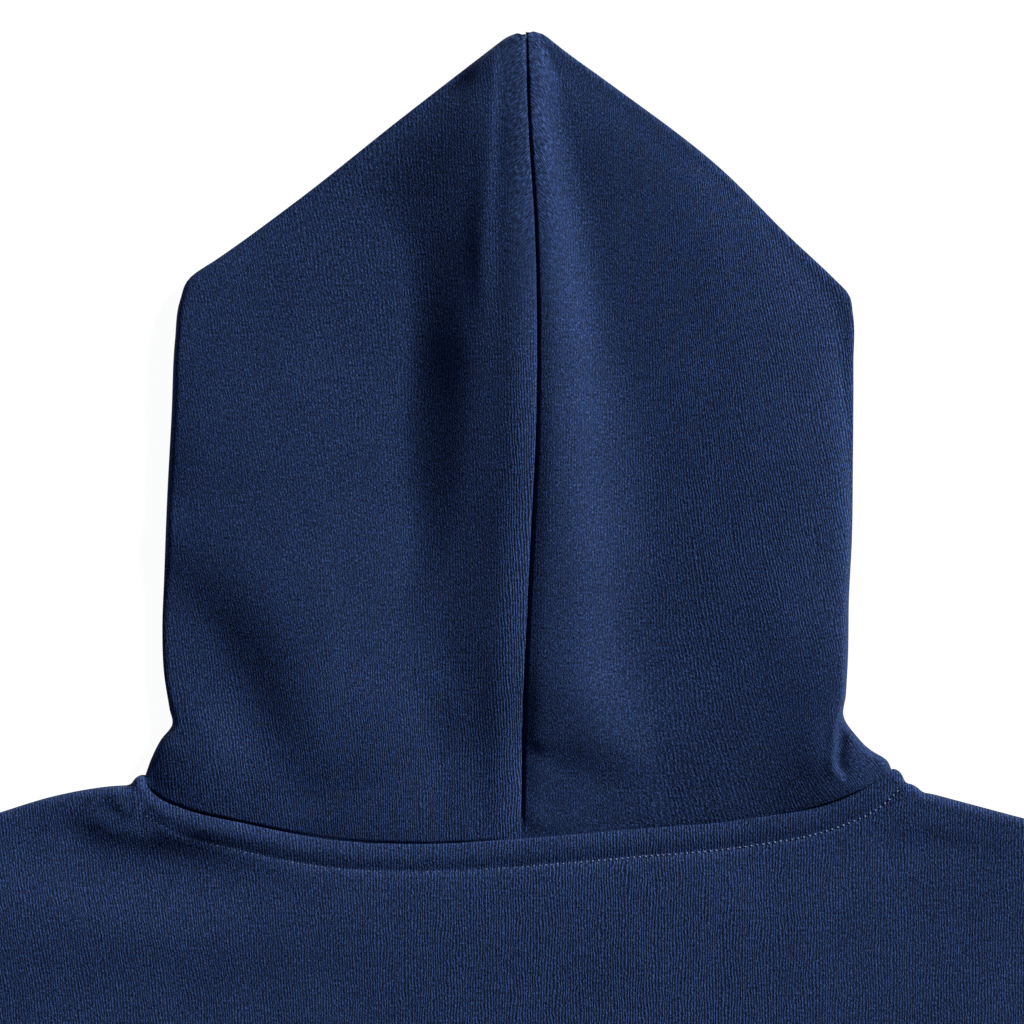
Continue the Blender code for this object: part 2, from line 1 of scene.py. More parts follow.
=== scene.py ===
"""Pullover hoodie in navy fleece, lying flat with its back up: the dressed model.

Each cut piece is a thin wall of knit that stands for its plain solid. It starts
as a grid, is laid on the garment's outline, gets its folds as soft ridges and
troughs, and is then thickened inwards. Sizes are in millimetres from the middle
of the back neck seam, with x across, y from hem to hood and z up from the table.
They are turned to metres where a mesh is made.
"""

from __future__ import annotations

import logging
import math
from collections.abc import Iterator
from dataclasses import dataclass
from enum import Enum

import bpy
import numpy as np
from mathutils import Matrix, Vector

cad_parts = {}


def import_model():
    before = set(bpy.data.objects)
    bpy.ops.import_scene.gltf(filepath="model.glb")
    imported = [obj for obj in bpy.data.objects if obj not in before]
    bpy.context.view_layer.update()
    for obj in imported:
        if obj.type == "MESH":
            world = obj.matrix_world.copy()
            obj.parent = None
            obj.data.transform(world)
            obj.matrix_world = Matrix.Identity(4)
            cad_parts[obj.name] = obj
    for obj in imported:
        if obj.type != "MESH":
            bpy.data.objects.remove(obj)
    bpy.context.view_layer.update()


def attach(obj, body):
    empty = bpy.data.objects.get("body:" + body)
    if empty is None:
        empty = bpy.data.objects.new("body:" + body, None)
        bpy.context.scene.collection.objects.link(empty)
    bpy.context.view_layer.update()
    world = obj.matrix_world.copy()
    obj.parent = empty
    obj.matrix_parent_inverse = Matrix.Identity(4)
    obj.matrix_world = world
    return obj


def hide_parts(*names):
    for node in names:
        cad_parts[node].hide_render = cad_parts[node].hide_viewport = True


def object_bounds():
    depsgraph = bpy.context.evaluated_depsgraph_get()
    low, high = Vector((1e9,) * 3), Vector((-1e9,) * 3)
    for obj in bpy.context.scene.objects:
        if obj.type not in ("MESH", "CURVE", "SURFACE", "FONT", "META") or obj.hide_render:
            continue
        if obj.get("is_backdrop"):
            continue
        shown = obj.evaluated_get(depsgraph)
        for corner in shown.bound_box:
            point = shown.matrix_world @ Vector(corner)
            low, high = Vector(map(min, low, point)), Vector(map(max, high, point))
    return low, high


log = logging.getLogger("hoodie")

MM = 0.001
NECK_ABOVE_ORIGIN = 350.0  # the back neck seam's middle, from the frame's origin
HALF_SEAM = 0.02  # each cut piece stands this far from its seam line
# Distances between rows or columns of points, close where the cloth turns
EDGE_STEPS = np.array((0.0, 0.15, 0.45, 0.9, 1.5, 2.3, 3.2, 4.4))
BESIDE_SEAM = np.array(
    (0.0, 0.25, 0.5, 0.8, 1.2, 1.7, 2.3, 3.0, 3.8, 4.8, 6.0, 7.3, 8.7, 10.3, 12.0)
)
PLEAT_STEPS = np.array((2.4, 1.6, 0.9, 0.3, -0.3, -0.9, -1.6, -2.4))
FOLD_STEPS = np.array((2.9, 2.3, 1.7, 1.2, 0.75, 0.4, 0.15, 0.0))
UNDER_FOLD = np.array((0.15, 0.4, 0.75, 1.2, 1.7, 2.3, 3.0, 4.0, 6.0))
FACE_STEPS = np.array((1.0, 0.0))
SEAM_REACH = 3.0  # how far from a seam the cloth is still drawn down
LOWEST = 4.65  # an upper layer's outer face comes no lower on the one below
EIGHTH_TURN = 0.71  # sine and cosine of 45 degrees

Array = np.ndarray
Row = tuple[float, ...]
Table = tuple[Row, ...]
Pair = tuple[Array, Array]
Socket = bpy.types.NodeSocket


# ---------------------------------------------------------------- plain shapes


class Side(Enum):
    """The garment's sides as it lies; the value is the sign of x."""

    LEFT = -1
    RIGHT = 1


def ease(value: Array, start: float | Array, end: float | Array, skew: float = 1.0) -> Array:
    """Rises from 0 to 1 with level ends.

    Args:
        value: where to read the curve.
        start: where it leaves 0.
        end: where it reaches 1; it may be below start.
        skew: under 1 the curve is steepest near start, and over 1 near end.

    Returns:
        The curve at each value.
    """
    t = np.clip((value - start) / (end - start), 0.0, 1.0) ** skew
    return t * t * (3.0 - 2.0 * t)


def cubic(share: Array, span: float | Array, values: Pair, slopes: Pair) -> Array:
    """A cubic from one value to the next.

    Args:
        share: where to read it, as a share of the span.
        span: how far apart the two values are.
        values: the value at the span's start and end.
        slopes: the slope there.

    Returns:
        The curve at each share.
    """
    return (
        (1 + 2 * share) * (1 - share) ** 2 * values[0]
        + share * (1 - share) ** 2 * span * slopes[0]
        + share**2 * (3 - 2 * share) * values[1]
        + share**2 * (share - 1) * span * slopes[1]
    )


def through(at: Array, places: Array, values: Array) -> Array:
    """A smooth curve through a table.

    Args:
        at: where to read the curve; past the table's ends it stays level.
        places: the table's rising places.
        values: the value at each place, as one column or several.

    Returns:
        The value at each point of at, with the columns of values last.
    """
    places, values = np.asarray(places, float), np.asarray(values, float)
    slope = np.gradient(values, places, axis=0)
    i = np.clip(np.searchsorted(places, at, side="right") - 1, 0, len(places) - 2)
    span = places[i + 1] - places[i]
    t = np.clip((at - places[i]) / span, 0.0, 1.0)
    if values.ndim > 1:
        t, span = t[..., None], span[..., None]
    return cubic(t, span, (values[i], values[i + 1]), (slope[i], slope[i + 1]))


def read(table: Table, at: Array) -> Array:
    """A table's other columns at these places of its first one, smoothly."""
    rows = np.array(table, float)
    return through(at, rows[:, 0], rows[:, 1] if rows.shape[1] == 2 else rows[:, 1:])


def section(at: Array, places: Array, heights: Array) -> Array:
    """A smooth profile that is 0 and level outside its first and last place.

    Args:
        at: where to read the profile.
        places: the profile's rising places, one array for each.
        heights: the height at each place, in the same way.

    Returns:
        The profile's height at each point of at.
    """
    spans = np.maximum(np.diff(places, axis=0), 0.5)
    steps = np.diff(heights, axis=0) / spans
    inner = (steps[:-1] * spans[1:] + steps[1:] * spans[:-1]) / (spans[:-1] + spans[1:])
    slopes = np.concatenate([np.zeros_like(steps[:1]), inner, np.zeros_like(steps[:1])])
    height = np.zeros_like(at)
    for i, span in enumerate(spans):
        t = np.clip((at - places[i]) / span, 0.0, 1.0)
        piece = cubic(t, span, heights[i : i + 2], slopes[i : i + 2])
        height = np.where(at >= places[i], piece, height)
    return height


def along(points: Table | Array, shares: Array) -> Array:
    """Points at these shares of the length of a smooth line.

    Args:
        points: the points that the line runs through.
        shares: shares of its length, from 0 to 1.

    Returns:
        One point for each share.
    """
    line = np.array(points, float)
    place = np.r_[0.0, np.cumsum(np.linalg.norm(np.diff(line, axis=0), axis=1))]
    return through(np.asarray(shares, float) * place[-1], place, line)


def beside(points: Array, distance: float) -> Array:
    """The line moved sideways by this distance, to the left of its travel."""
    heading = np.gradient(points, axis=0)
    heading /= np.linalg.norm(heading, axis=1)[:, None]
    return points + distance * np.stack([-heading[:, 1], heading[:, 0]], axis=1)


def distance_to(xy: Array, line: Array) -> Array:
    """Each point's distance to the nearest place of a line of points."""
    nearest = np.full(xy.shape[:-1], np.inf)
    for start, end in zip(line[:-1], line[1:]):
        span = end - start
        share = np.clip(((xy - start) @ span) / (span @ span), 0.0, 1.0)
        gap = np.linalg.norm(xy - start - share[..., None] * span, axis=-1)
        nearest = np.minimum(nearest, gap)
    return nearest


def by_seams(xy: Array, seams: list[Array]) -> Array:
    """1 on each of these seams, easing to 0 where the cloth lies free of them."""
    return sum(ease(distance_to(xy, seam), SEAM_REACH, 0.0) for seam in seams)


def swell(distance: Array, reach: float) -> Array:
    """1 in the middle, falling softly towards 0 on both sides."""
    return np.exp(-((distance / reach) ** 2))


def spread(length: float, first: Array, last: Array, between: int) -> Array:
    """Places along a row of cloth, closer together at its two ends.

    Args:
        length: the row's length.
        first: distances from the start, from 0 up.
        last: distances from the end, going down to 0.
        between: how many places lie between the two.

    Returns:
        The places as shares of the row's length.
    """
    fit = min(1.0, 0.9 * length / (first[-1] + last[0] + 1e-9))
    head, tail = first * fit, length - last * fit
    middle = np.linspace(head[-1], tail[0], between + 2)[1:-1]
    return np.r_[head, middle, tail] / length


@dataclass(frozen=True)
class Fold:
    """A soft ridge or trough in the cloth.

    Each row gives a point across and up, the height there (below 0 for a
    trough), and how far the fold reaches to the left and right of its travel.
    """

    name: str
    rows: Table

    def relief(self, xy: Array) -> Array:
        """The fold's height at each place."""
        table = np.array(self.rows)
        start = table[0, :2]
        way = table[-1, :2] - start
        length = float(np.linalg.norm(way))
        way /= length
        aside = np.array((-way[1], way[0]))
        at = (xy - start) @ way
        inside = np.clip(at, 0.0, length)
        steps = (table[:, :2] - start) @ way
        lines = np.column_stack([(table[:, :2] - start) @ aside, table[:, 2:]])
        offset, height, left, right = np.moveaxis(through(inside, steps, lines), -1, 0)
        across = (xy - start) @ aside - offset
        reach = np.maximum(np.where(across > 0, left, right), 0.5)
        past = (at - inside) / np.maximum((left + right) / 2, 0.5)
        return height * np.exp(-((across / reach) ** 2) - past**2)


def folded(xy: Array, folds: tuple[Fold, ...]) -> Array:
    """The height of several folds together at each place."""
    return sum((fold.relief(xy) for fold in folds), np.zeros(xy.shape[:-1]))


@dataclass(frozen=True)
class EdgeRoll:
    """How cloth turns under at a folded edge: its reach inwards and its middle height."""

    reach: float
    middle: float

    def level(self, distance: Array, inside: Array | float) -> Array:
        """The outer face's height.

        Args:
            distance: how far each place is from the folded edge.
            inside: the height that the face has past the roll.

        Returns:
            The height at each place, from the roll's middle to inside.
        """
        share = np.clip(distance / self.reach, 0.0, 1.0)
        return self.middle + (inside - self.middle) * np.sqrt(1 - (1 - share) ** 2)


def raised(xy: Array, height: Array) -> Array:
    """Places and their heights as one array of points."""
    return np.concatenate([xy, np.broadcast_to(height, xy.shape[:-1])[..., None]], axis=-1)


# ------------------------------------------------------------------- finishes


class ShaderWork:
    """Adds the nodes of one material and joins them."""

    def __init__(self, name: str) -> None:
        """Makes an empty material of this name with its Principled shader."""
        self.material = bpy.data.materials.new(name)
        self.material.use_nodes = True
        self.tree = self.material.node_tree
        self.shader = self.tree.nodes["Principled BSDF"]

    def put(self, kind: str, inputs: dict[str | int, object], **settings: object) -> Socket:
        """Adds one node.

        Args:
            kind: Blender's name of the node type.
            inputs: a value or an output socket for each input.
            **settings: the node's own settings.

        Returns:
            The node's first output.
        """
        node = self.tree.nodes.new(kind)
        for name, value in settings.items():
            setattr(node, name, value)
        for name, value in inputs.items():
            if isinstance(value, bpy.types.NodeSocket):
                self.tree.links.new(value, node.inputs[name])
            else:
                node.inputs[name].default_value = value
        return node.outputs[0]

    def sum(self, operation: str, first: object, second: object = 0.0) -> Socket:
        """The output of a Math node with one or two inputs."""
        return self.put("ShaderNodeMath", {0: first, 1: second}, operation=operation)

    def plus(self, first: object, second: object) -> Socket:
        """The output of a Math node that adds."""
        return self.sum("ADD", first, second)

    def times(self, first: object, second: object) -> Socket:
        """The output of a Math node that multiplies."""
        return self.sum("MULTIPLY", first, second)

    def scaled(self, vector: object, by: object) -> Socket:
        """A vector or colour times another one or a number."""
        return self.put("ShaderNodeVectorMath", {0: vector, 1: by}, operation="MULTIPLY")

    def parts(self, vector: object) -> tuple[Socket, Socket]:
        """A vector's first two parts."""
        node = self.put("ShaderNodeSeparateXYZ", {0: vector}).node
        return node.outputs[0], node.outputs[1]

    def share(self, name: str) -> Socket:
        """A number that the mesh holds for each point."""
        return self.put("ShaderNodeAttribute", {}, attribute_name=name).node.outputs["Fac"]

    def grain(
        self, uv: object, across: float, length: float, reach: float, detail: float = 1.0
    ) -> Socket:
        """Noise about 0.

        Args:
            uv: where it is read.
            across: its grains' size across the wales.
            length: their size along the wales.
            reach: how far it goes to both sides of 0.
            detail: how much finer noise lies on it.

        Returns:
            The noise's output.
        """
        noise = self.put(
            "ShaderNodeTexNoise",
            {
                "Vector": self.scaled(uv, (1.0 / across, 1.0 / length, 1.0)),
                "Scale": 1.0,
                "Detail": detail,
                "Roughness": 0.6,
            },
            noise_dimensions="2D",
        )
        return self.times(self.sum("SUBTRACT", noise, 0.5), reach)

    def feel(self, values: dict[str, object]) -> None:
        """Sets what is the same all over the surface."""
        for name, value in values.items():
            self.shader.inputs[name].default_value = value

    def join(self, output: object, name: str) -> None:
        """Links an output to one of the shader's inputs."""
        self.tree.links.new(output, self.shader.inputs[name])


@dataclass(frozen=True)
class KnitFinish:
    """Brushed knit whose wales follow the piece's own knit map, in millimetres; its colour has
    painted shade where the knit lies low and painted light where it stands up.
    """

    name: str
    slot: str
    colour: Row
    wale: float = 1.14  # from one column of loops to the next
    course: float = 0.95  # from one row of loops to the next
    leg: float = 1.3  # how steeply a loop's two legs slope, in rows
    rows: float = 0.1  # how strongly the rows of loops show
    wales: float = 0.9  # how strongly the wales show where they are clear
    lean: float = 0.0  # how far the brushed fibres lean, for their length
    fibre: Row = (0.46, 1.0, 3.9)  # their size across and along, and how much they show
    slanted: Row = (0.46, 2.2, 4.8)  # the same of the nap that turns towards a seam
    tuft: Row = (1.38, 3.0, 1.0, 2.0)  # ... of matted tufts, with their detail
    cloud: Row = (22.0, 40.0, 0.5, 3.0)  # ... of the slow change in tone
    drift: Row = (9.0, 26.0, 2.4)  # ... of the wales' slow drift sideways
    waver: Row = (1.9, 3.4, 0.8)  # ... and of their quick wavering
    depth: float = 0.064  # height of the loops
    brightest: float = 3.4  # how much brighter than the colour a fibre, or the painted light on a raised loop, may make it
    contrast: float = 1.0
    sheen: float = 0.06

    def loops(self, work: ShaderWork, uv: Socket) -> Socket:
        """How far the stitches' columns and rows stand out, in relief and as painted shade and
        light in the colour.
        """
        across, up = work.parts(uv)
        drift, waver = work.grain(uv, *self.drift), work.grain(uv, *self.waver)
        column = work.plus(across, work.plus(drift, waver))
        column = work.sum("DIVIDE", column, self.wale)
        wale = work.sum("COSINE", work.times(column, math.tau))
        leg = work.times(work.sum("PINGPONG", column, 0.5), self.leg)
        row = work.plus(work.sum("DIVIDE", up, self.course), leg)
        loop = work.sum("SINE", work.times(row, math.tau))
        wale = work.times(wale, work.times(work.share("clarity"), self.wales))
        return work.plus(wale, work.times(loop, self.rows))

    def brushed(self, work: ShaderWork, uv: Socket) -> tuple[Socket, Socket]:
        """The raised fibres, and the place on the knit that they lean to."""
        across, up = work.parts(uv)
        leaned = work.plus(across, work.times(up, self.lean))
        place = work.put("ShaderNodeCombineXYZ", {0: leaned, 1: up})
        fibres = work.grain(place, *self.fibre)
        turned = work.put(
            "ShaderNodeCombineXYZ",
            {
                0: work.times(work.plus(across, up), EIGHTH_TURN),
                1: work.times(work.sum("SUBTRACT", up, across), EIGHTH_TURN),
            },
        )
        slanted = work.grain(turned, *self.slanted)
        turn = work.times(work.sum("SUBTRACT", slanted, fibres), work.share("chevron"))
        return work.plus(fibres, turn), place

    def build(self) -> bpy.types.Material:
        """Makes the material."""
        work = ShaderWork(self.name)
        uv = work.put("ShaderNodeUVMap", {}, uv_map="knit")
        fibres, place = self.brushed(work, uv)
        # Painted shade and light: the knit's height also sets its colour, darker in the hollows
        # between loops and fibres and lighter on their tops; the fibres, tufts and cloud add their
        # own tone too.
        pattern = work.plus(self.loops(work, uv), fibres)
        tone = work.plus(work.grain(place, *self.tuft), work.grain(uv, *self.cloud))
        tone = work.plus(pattern, tone)
        bright = work.sum("EXPONENT", work.times(tone, self.contrast))
        bright = work.sum("MINIMUM", bright, self.brightest)
        bump = work.put(
            "ShaderNodeBump", {"Height": pattern, "Strength": 1.0, "Distance": self.depth * MM}
        )
        work.join(work.scaled(self.colour, bright), "Base Color")
        work.join(bump, "Normal")
        work.feel({
            "Roughness": 0.95,
            "Specular IOR Level": 0.06,
            "Sheen Weight": self.sheen,
            "Sheen Roughness": 0.45,
            "Sheen Tint": (0.45, 0.6, 1.0, 1.0),
        })
        return work.material


@dataclass(frozen=True)
class ThreadFinish:
    """Polyester sewing thread, twisted from two plies."""

    name: str = "topstitch_thread"
    slot: str = "thread"
    colour: Row = (0.1, 0.138, 0.235)
    twist: float = 2600.0  # turns of the plies in a metre
    slope: float = 0.7  # how far they run across, for their length
    relief: float = 0.04  # how far they stand out
    tones: tuple[float, float] = (0.7, 1.2)  # the colour's painted shade in the grooves between the plies and its painted light on their tops

    def build(self) -> bpy.types.Material:
        """Makes the material."""
        work = ShaderWork(self.name)
        across, up = work.parts(work.put("ShaderNodeTexCoord", {}).node.outputs["Object"])
        lean = work.plus(across, work.times(up, self.slope))
        ply = work.sum("SINE", work.times(lean, self.twist * math.tau))
        # Painted shade and light: the colour is darker in the grooves between the plies and lighter
        # on their tops, in step with their bump.
        dark, bright = self.tones
        tone = work.put(
            "ShaderNodeMapRange",
            {"Value": ply, "From Min": -1.0, "From Max": 1.0, "To Min": dark, "To Max": bright},
        )
        bump = work.put("ShaderNodeBump", {"Height": ply, "Distance": self.relief * MM})
        work.join(work.scaled(self.colour, tone), "Base Color")
        work.join(bump, "Normal")
        work.feel({
            "Roughness": 0.55,
            "Specular IOR Level": 0.4,
            "Sheen Weight": 0.1,
            "Sheen Roughness": 0.45,
            "Sheen Tint": (0.8, 0.85, 1.0, 1.0),
        })
        return work.material


@dataclass(frozen=True)
class FloorFinish:
    """A white table top that glows a little, so that shadows on it stay faint."""

    name: str = "white_table"
    tone: float = 0.08
    glow: float = 0.965

    def build(self) -> bpy.types.Material:
        """Makes the material."""
        work = ShaderWork(self.name)
        work.feel({
            "Base Color": (self.tone, self.tone, self.tone, 1.0),
            "Roughness": 0.9,
            "Specular IOR Level": 0.0,
            "Emission Color": (1.0, 1.0, 1.0, 1.0),
            "Emission Strength": self.glow,
        })
        return work.material


# ------------------------------------------------------------------- tailoring


@dataclass(frozen=True)
class CutPiece:
    """One cut piece of knit as it lies, before it is thickened."""

    name: str
    points: Array  # rows by columns by xyz of the outer face
    wall: float  # the cloth's thickness
    flat: tuple[float, float]  # width and length of its cut, in metres
    area: float  # flat area of its cut, in square metres
    rests_on: tuple[str, ...]
    ring: bool = False  # the last column meets the first
    faces_down: bool = False  # its outer face lies on the table
    upright: bool = True  # wales run up the table; otherwise they follow the columns
    level: bool = False  # the wales' places are read straight down from above
    slant: Array | float = 0.0  # how far each point's wales are moved sideways
    clarity: Array | float = 1.0  # how plainly the wales show, for each point
    chevron: Array | float = 0.0  # how far the nap turns towards a seam, for each point

    def knit_map(self) -> Array:
        """Each point's place on the knit, in millimetres across and along its wales."""
        across, up = np.diff(self.points, axis=1), np.diff(self.points, axis=0)
        u0, v0 = np.zeros((len(self.points), 1)), np.zeros((1, self.points.shape[1]))
        turn = 1.0
        if self.level:
            return self.points[..., :2] + np.stack([self.slant, self.slant * 0.0], axis=-1)
        if self.upright:
            turn = np.sign(across[..., 0].sum())
            u0 = self.points[:, :1, 0] * turn
            v0 = self.points[:1, :, 1] * np.sign(up[..., 1].sum())
            across, up = across[..., [0, 2]], up[..., [1, 2]]
        u0 = u0 + turn * np.broadcast_to(self.slant, self.points.shape[:2])
        u = np.cumsum(np.linalg.norm(across, axis=-1), axis=1)
        v = np.cumsum(np.linalg.norm(up, axis=-1), axis=0)
        u, v = np.pad(u, ((0, 0), (1, 0))) + u0, np.pad(v, ((1, 0), (0, 0))) + v0
        return np.stack([u, v], axis=-1)


class Tailor:
    """Turns cut pieces into finished objects."""

    def __init__(self) -> None:
        """Starts with no material made."""
        self.materials: dict[str, bpy.types.Material] = {}

    def material(self, finish: KnitFinish | ThreadFinish) -> bpy.types.Material:
        """The finish's material, made once."""
        if finish.name not in self.materials:
            self.materials[finish.name] = finish.build()
        return self.materials[finish.name]

    def grid(self, name: str, columns: int, rows: int) -> bpy.types.Object:
        """Adds a grid of this many points across and up, with nothing else selected."""
        bpy.ops.object.select_all(action="DESELECT")
        bpy.ops.mesh.primitive_grid_add(
            x_subdivisions=columns - 1, y_subdivisions=rows - 1, size=1.0
        )
        sheet = bpy.context.object
        sheet.name = sheet.data.name = name
        return sheet

    def shape(self, sheet: bpy.types.Object, piece: CutPiece) -> None:
        """Lays the grid's points on the cut piece and writes its knit map."""
        mesh = sheet.data
        placed = (piece.points.reshape(-1, 3) + (0.0, NECK_ABOVE_ORIGIN, 0.0)) * MM
        mesh.vertices.foreach_set("co", placed.astype(np.float32).ravel())
        corners = np.empty(len(mesh.loops), np.int32)
        mesh.loops.foreach_get("vertex_index", corners)
        knit = mesh.uv_layers[0]
        knit.name = "knit"
        places = piece.knit_map().reshape(-1, 2)[corners]
        knit.data.foreach_set("uv", places.astype(np.float32).ravel())
        for name, values in (("clarity", piece.clarity), ("chevron", piece.chevron)):
            spread_out = np.broadcast_to(values, piece.points.shape[:2]).astype(np.float32)
            held = mesh.attributes.new(name, "FLOAT", "POINT").data
            held.foreach_set("value", spread_out.ravel())
        mesh.update()

    def close(self, sheet: bpy.types.Object, piece: CutPiece) -> None:
        """Joins a ring's two ends and turns every face outwards."""
        normals = np.array([face.normal for face in sheet.data.polygons])
        heights = np.array([face.center.z for face in sheet.data.polygons])
        upper = heights > (heights.max() + heights.min()) / 2
        looks_down = normals[upper, 2].sum() < 0
        bpy.ops.object.mode_set(mode="EDIT")
        bpy.ops.mesh.select_all(action="SELECT")
        if looks_down != piece.faces_down:
            bpy.ops.mesh.flip_normals()
        if piece.ring:
            bpy.ops.mesh.remove_doubles(threshold=0.01 * MM)
        bpy.ops.object.mode_set(mode="OBJECT")

    def thicken(self, sheet: bpy.types.Object, wall: float) -> None:
        """Gives the cloth its thickness, inwards from its outer face."""
        solid = sheet.modifiers.new("wall", "SOLIDIFY")
        solid.thickness = wall * MM
        solid.offset = -1.0
        solid.use_rim = True
        solid.use_quality_normals = True
        bpy.ops.object.modifier_apply(modifier=solid.name)
        bpy.ops.object.shade_smooth_by_angle(angle=math.radians(60))

    def sew(self, piece: CutPiece, finish: KnitFinish) -> bpy.types.Object:
        """Makes one cut piece and puts it in its node's place.

        Args:
            piece: the cut piece.
            finish: its knit.

        Returns:
            The finished object.
        """
        rows, columns = piece.points.shape[:2]
        sheet = self.grid(f"{piece.name}_cloth", columns, rows)
        self.shape(sheet, piece)
        self.close(sheet, piece)
        surface = sum(face.area for face in sheet.data.polygons)
        self.thicken(sheet, piece.wall)
        sheet.data.materials.append(self.material(finish))
        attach(sheet, "root")
        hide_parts(piece.name)
        log.info("%s: %d faces, outer face %.4f m2", sheet.name, len(sheet.data.polygons), surface)
        return sheet


# ------------------------------------------------------------- garment's lines


@dataclass(frozen=True)
class NeckSeam:
    """The line on which hood and body meet, from the middle to each shoulder."""

    left: Table = (
        (-0.4, 0.0), (-42.0, -2.0), (-79.6, 0.0), (-112.0, 6.4),
        (-136.4, 12.4), (-144.8, 16.0), (-150.0, 20.8), (-151.2, 25.2),
    )
    right: Table = (
        (-0.4, 0.0), (40.8, 3.6), (87.6, 8.0),
        (120.4, 14.4), (140.8, 23.2), (147.6, 27.6),
    )
    front_foot: float = -60.0  # how low the front of the neck reaches
    # Share of the way to the middle, and share of the drop to the foot
    front_depths: Table = (
        (0.0, 0.0), (0.05, 0.3), (0.15, 0.58),
        (0.34, 0.83), (0.66, 0.96), (1.0, 1.0),
    )

    def half(self, side: Side) -> Table:
        """The back neck line of one side."""
        return self.left if side is Side.LEFT else self.right

    def back(self) -> Array:
        """The whole back neck line, from its left end to its right one."""
        left = along(self.left, np.linspace(1.0, 0.0, 70))
        return np.concatenate([left[:-1], along(self.right, np.linspace(0.0, 1.0, 70))])

    def front(self, side: Side) -> Array:
        """The front neck line of one side, from the shoulder to the middle."""
        end = np.array(self.half(side)[-1])
        width, drop = abs(end[0]) - HALF_SEAM, end[1] - self.front_foot
        inwards, down = np.array(self.front_depths).T
        return np.column_stack([end[0] - side.value * width * inwards, end[1] - drop * down])


# ------------------------------------------------------------------------ hood


@dataclass(frozen=True)
class CentreRidge:
    """The soft ridge in which the hood's centre seam stands up.

    Each row gives the height above the neck seam, then six places across: left
    foot, left knee, left crest, right crest, right knee and right foot. Last
    come the ridge's heights at the four places between its feet.
    """

    rows: Table = (
        (-5.0, -31.1, -21.0, -8.6, 29.1, 44.5, 55.9, 0.1, -1.7, -1.2, -0.3),
        (25.6, -35.9, -21.3, -5.9, 29.9, 44.5, 54.0, 0.7, 1.5, -0.1, -0.1),
        (39.6, -37.1, -23.1, -7.4, 29.6, 40.3, 54.0, 1.3, 3.3, 3.6, 2.0),
        (55.6, -41.7, -27.8, -9.5, 25.7, 39.9, 54.3, 1.7, 4.9, 6.0, 1.7),
        (75.6, -52.8, -34.9, -12.1, 21.4, 39.6, 55.2, 1.1, 6.8, 7.3, 1.4),
        (115.6, -46.3, -26.4, -7.0, 23.2, 35.0, 55.5, 5.0, 10.0, 9.6, 3.3),
        (155.6, -49.8, -20.7, -10.1, 21.1, 32.0, 55.6, 8.7, 10.8, 10.5, 4.0),
        (195.6, -46.6, -17.9, -12.8, 18.8, 28.7, 42.6, 10.6, 11.5, 9.0, 2.4),
        (235.6, -50.5, -16.5, -10.8, 13.1, 23.2, 34.8, 8.7, 10.2, 9.5, 1.9),
        (267.6, -65.4, -13.5, -10.5, 10.5, 14.7, 24.6, 8.2, 8.4, 6.8, 2.9),
        (291.6, -41.6, -16.2, -10.1, 6.5, 11.4, 18.2, 8.1, 8.2, 7.1, 2.1),
        (303.6, -26.1, -18.8, -8.9, 7.8, 12.4, 15.4, 4.6, 6.0, 5.4, 0.8),
        (317.6, -21.3, -15.7, -6.4, 6.3, 8.4, 12.7, 1.6, 3.4, 2.0, 0.4),
    )

    def relief(self, xy: Array) -> Array:
        """The ridge's height at each place."""
        marks = np.moveaxis(read(self.rows, xy[..., 1]), -1, 0)
        level = np.zeros_like(marks[0])
        return section(xy[..., 0], marks[:6], np.stack([level, *marks[6:], level]))


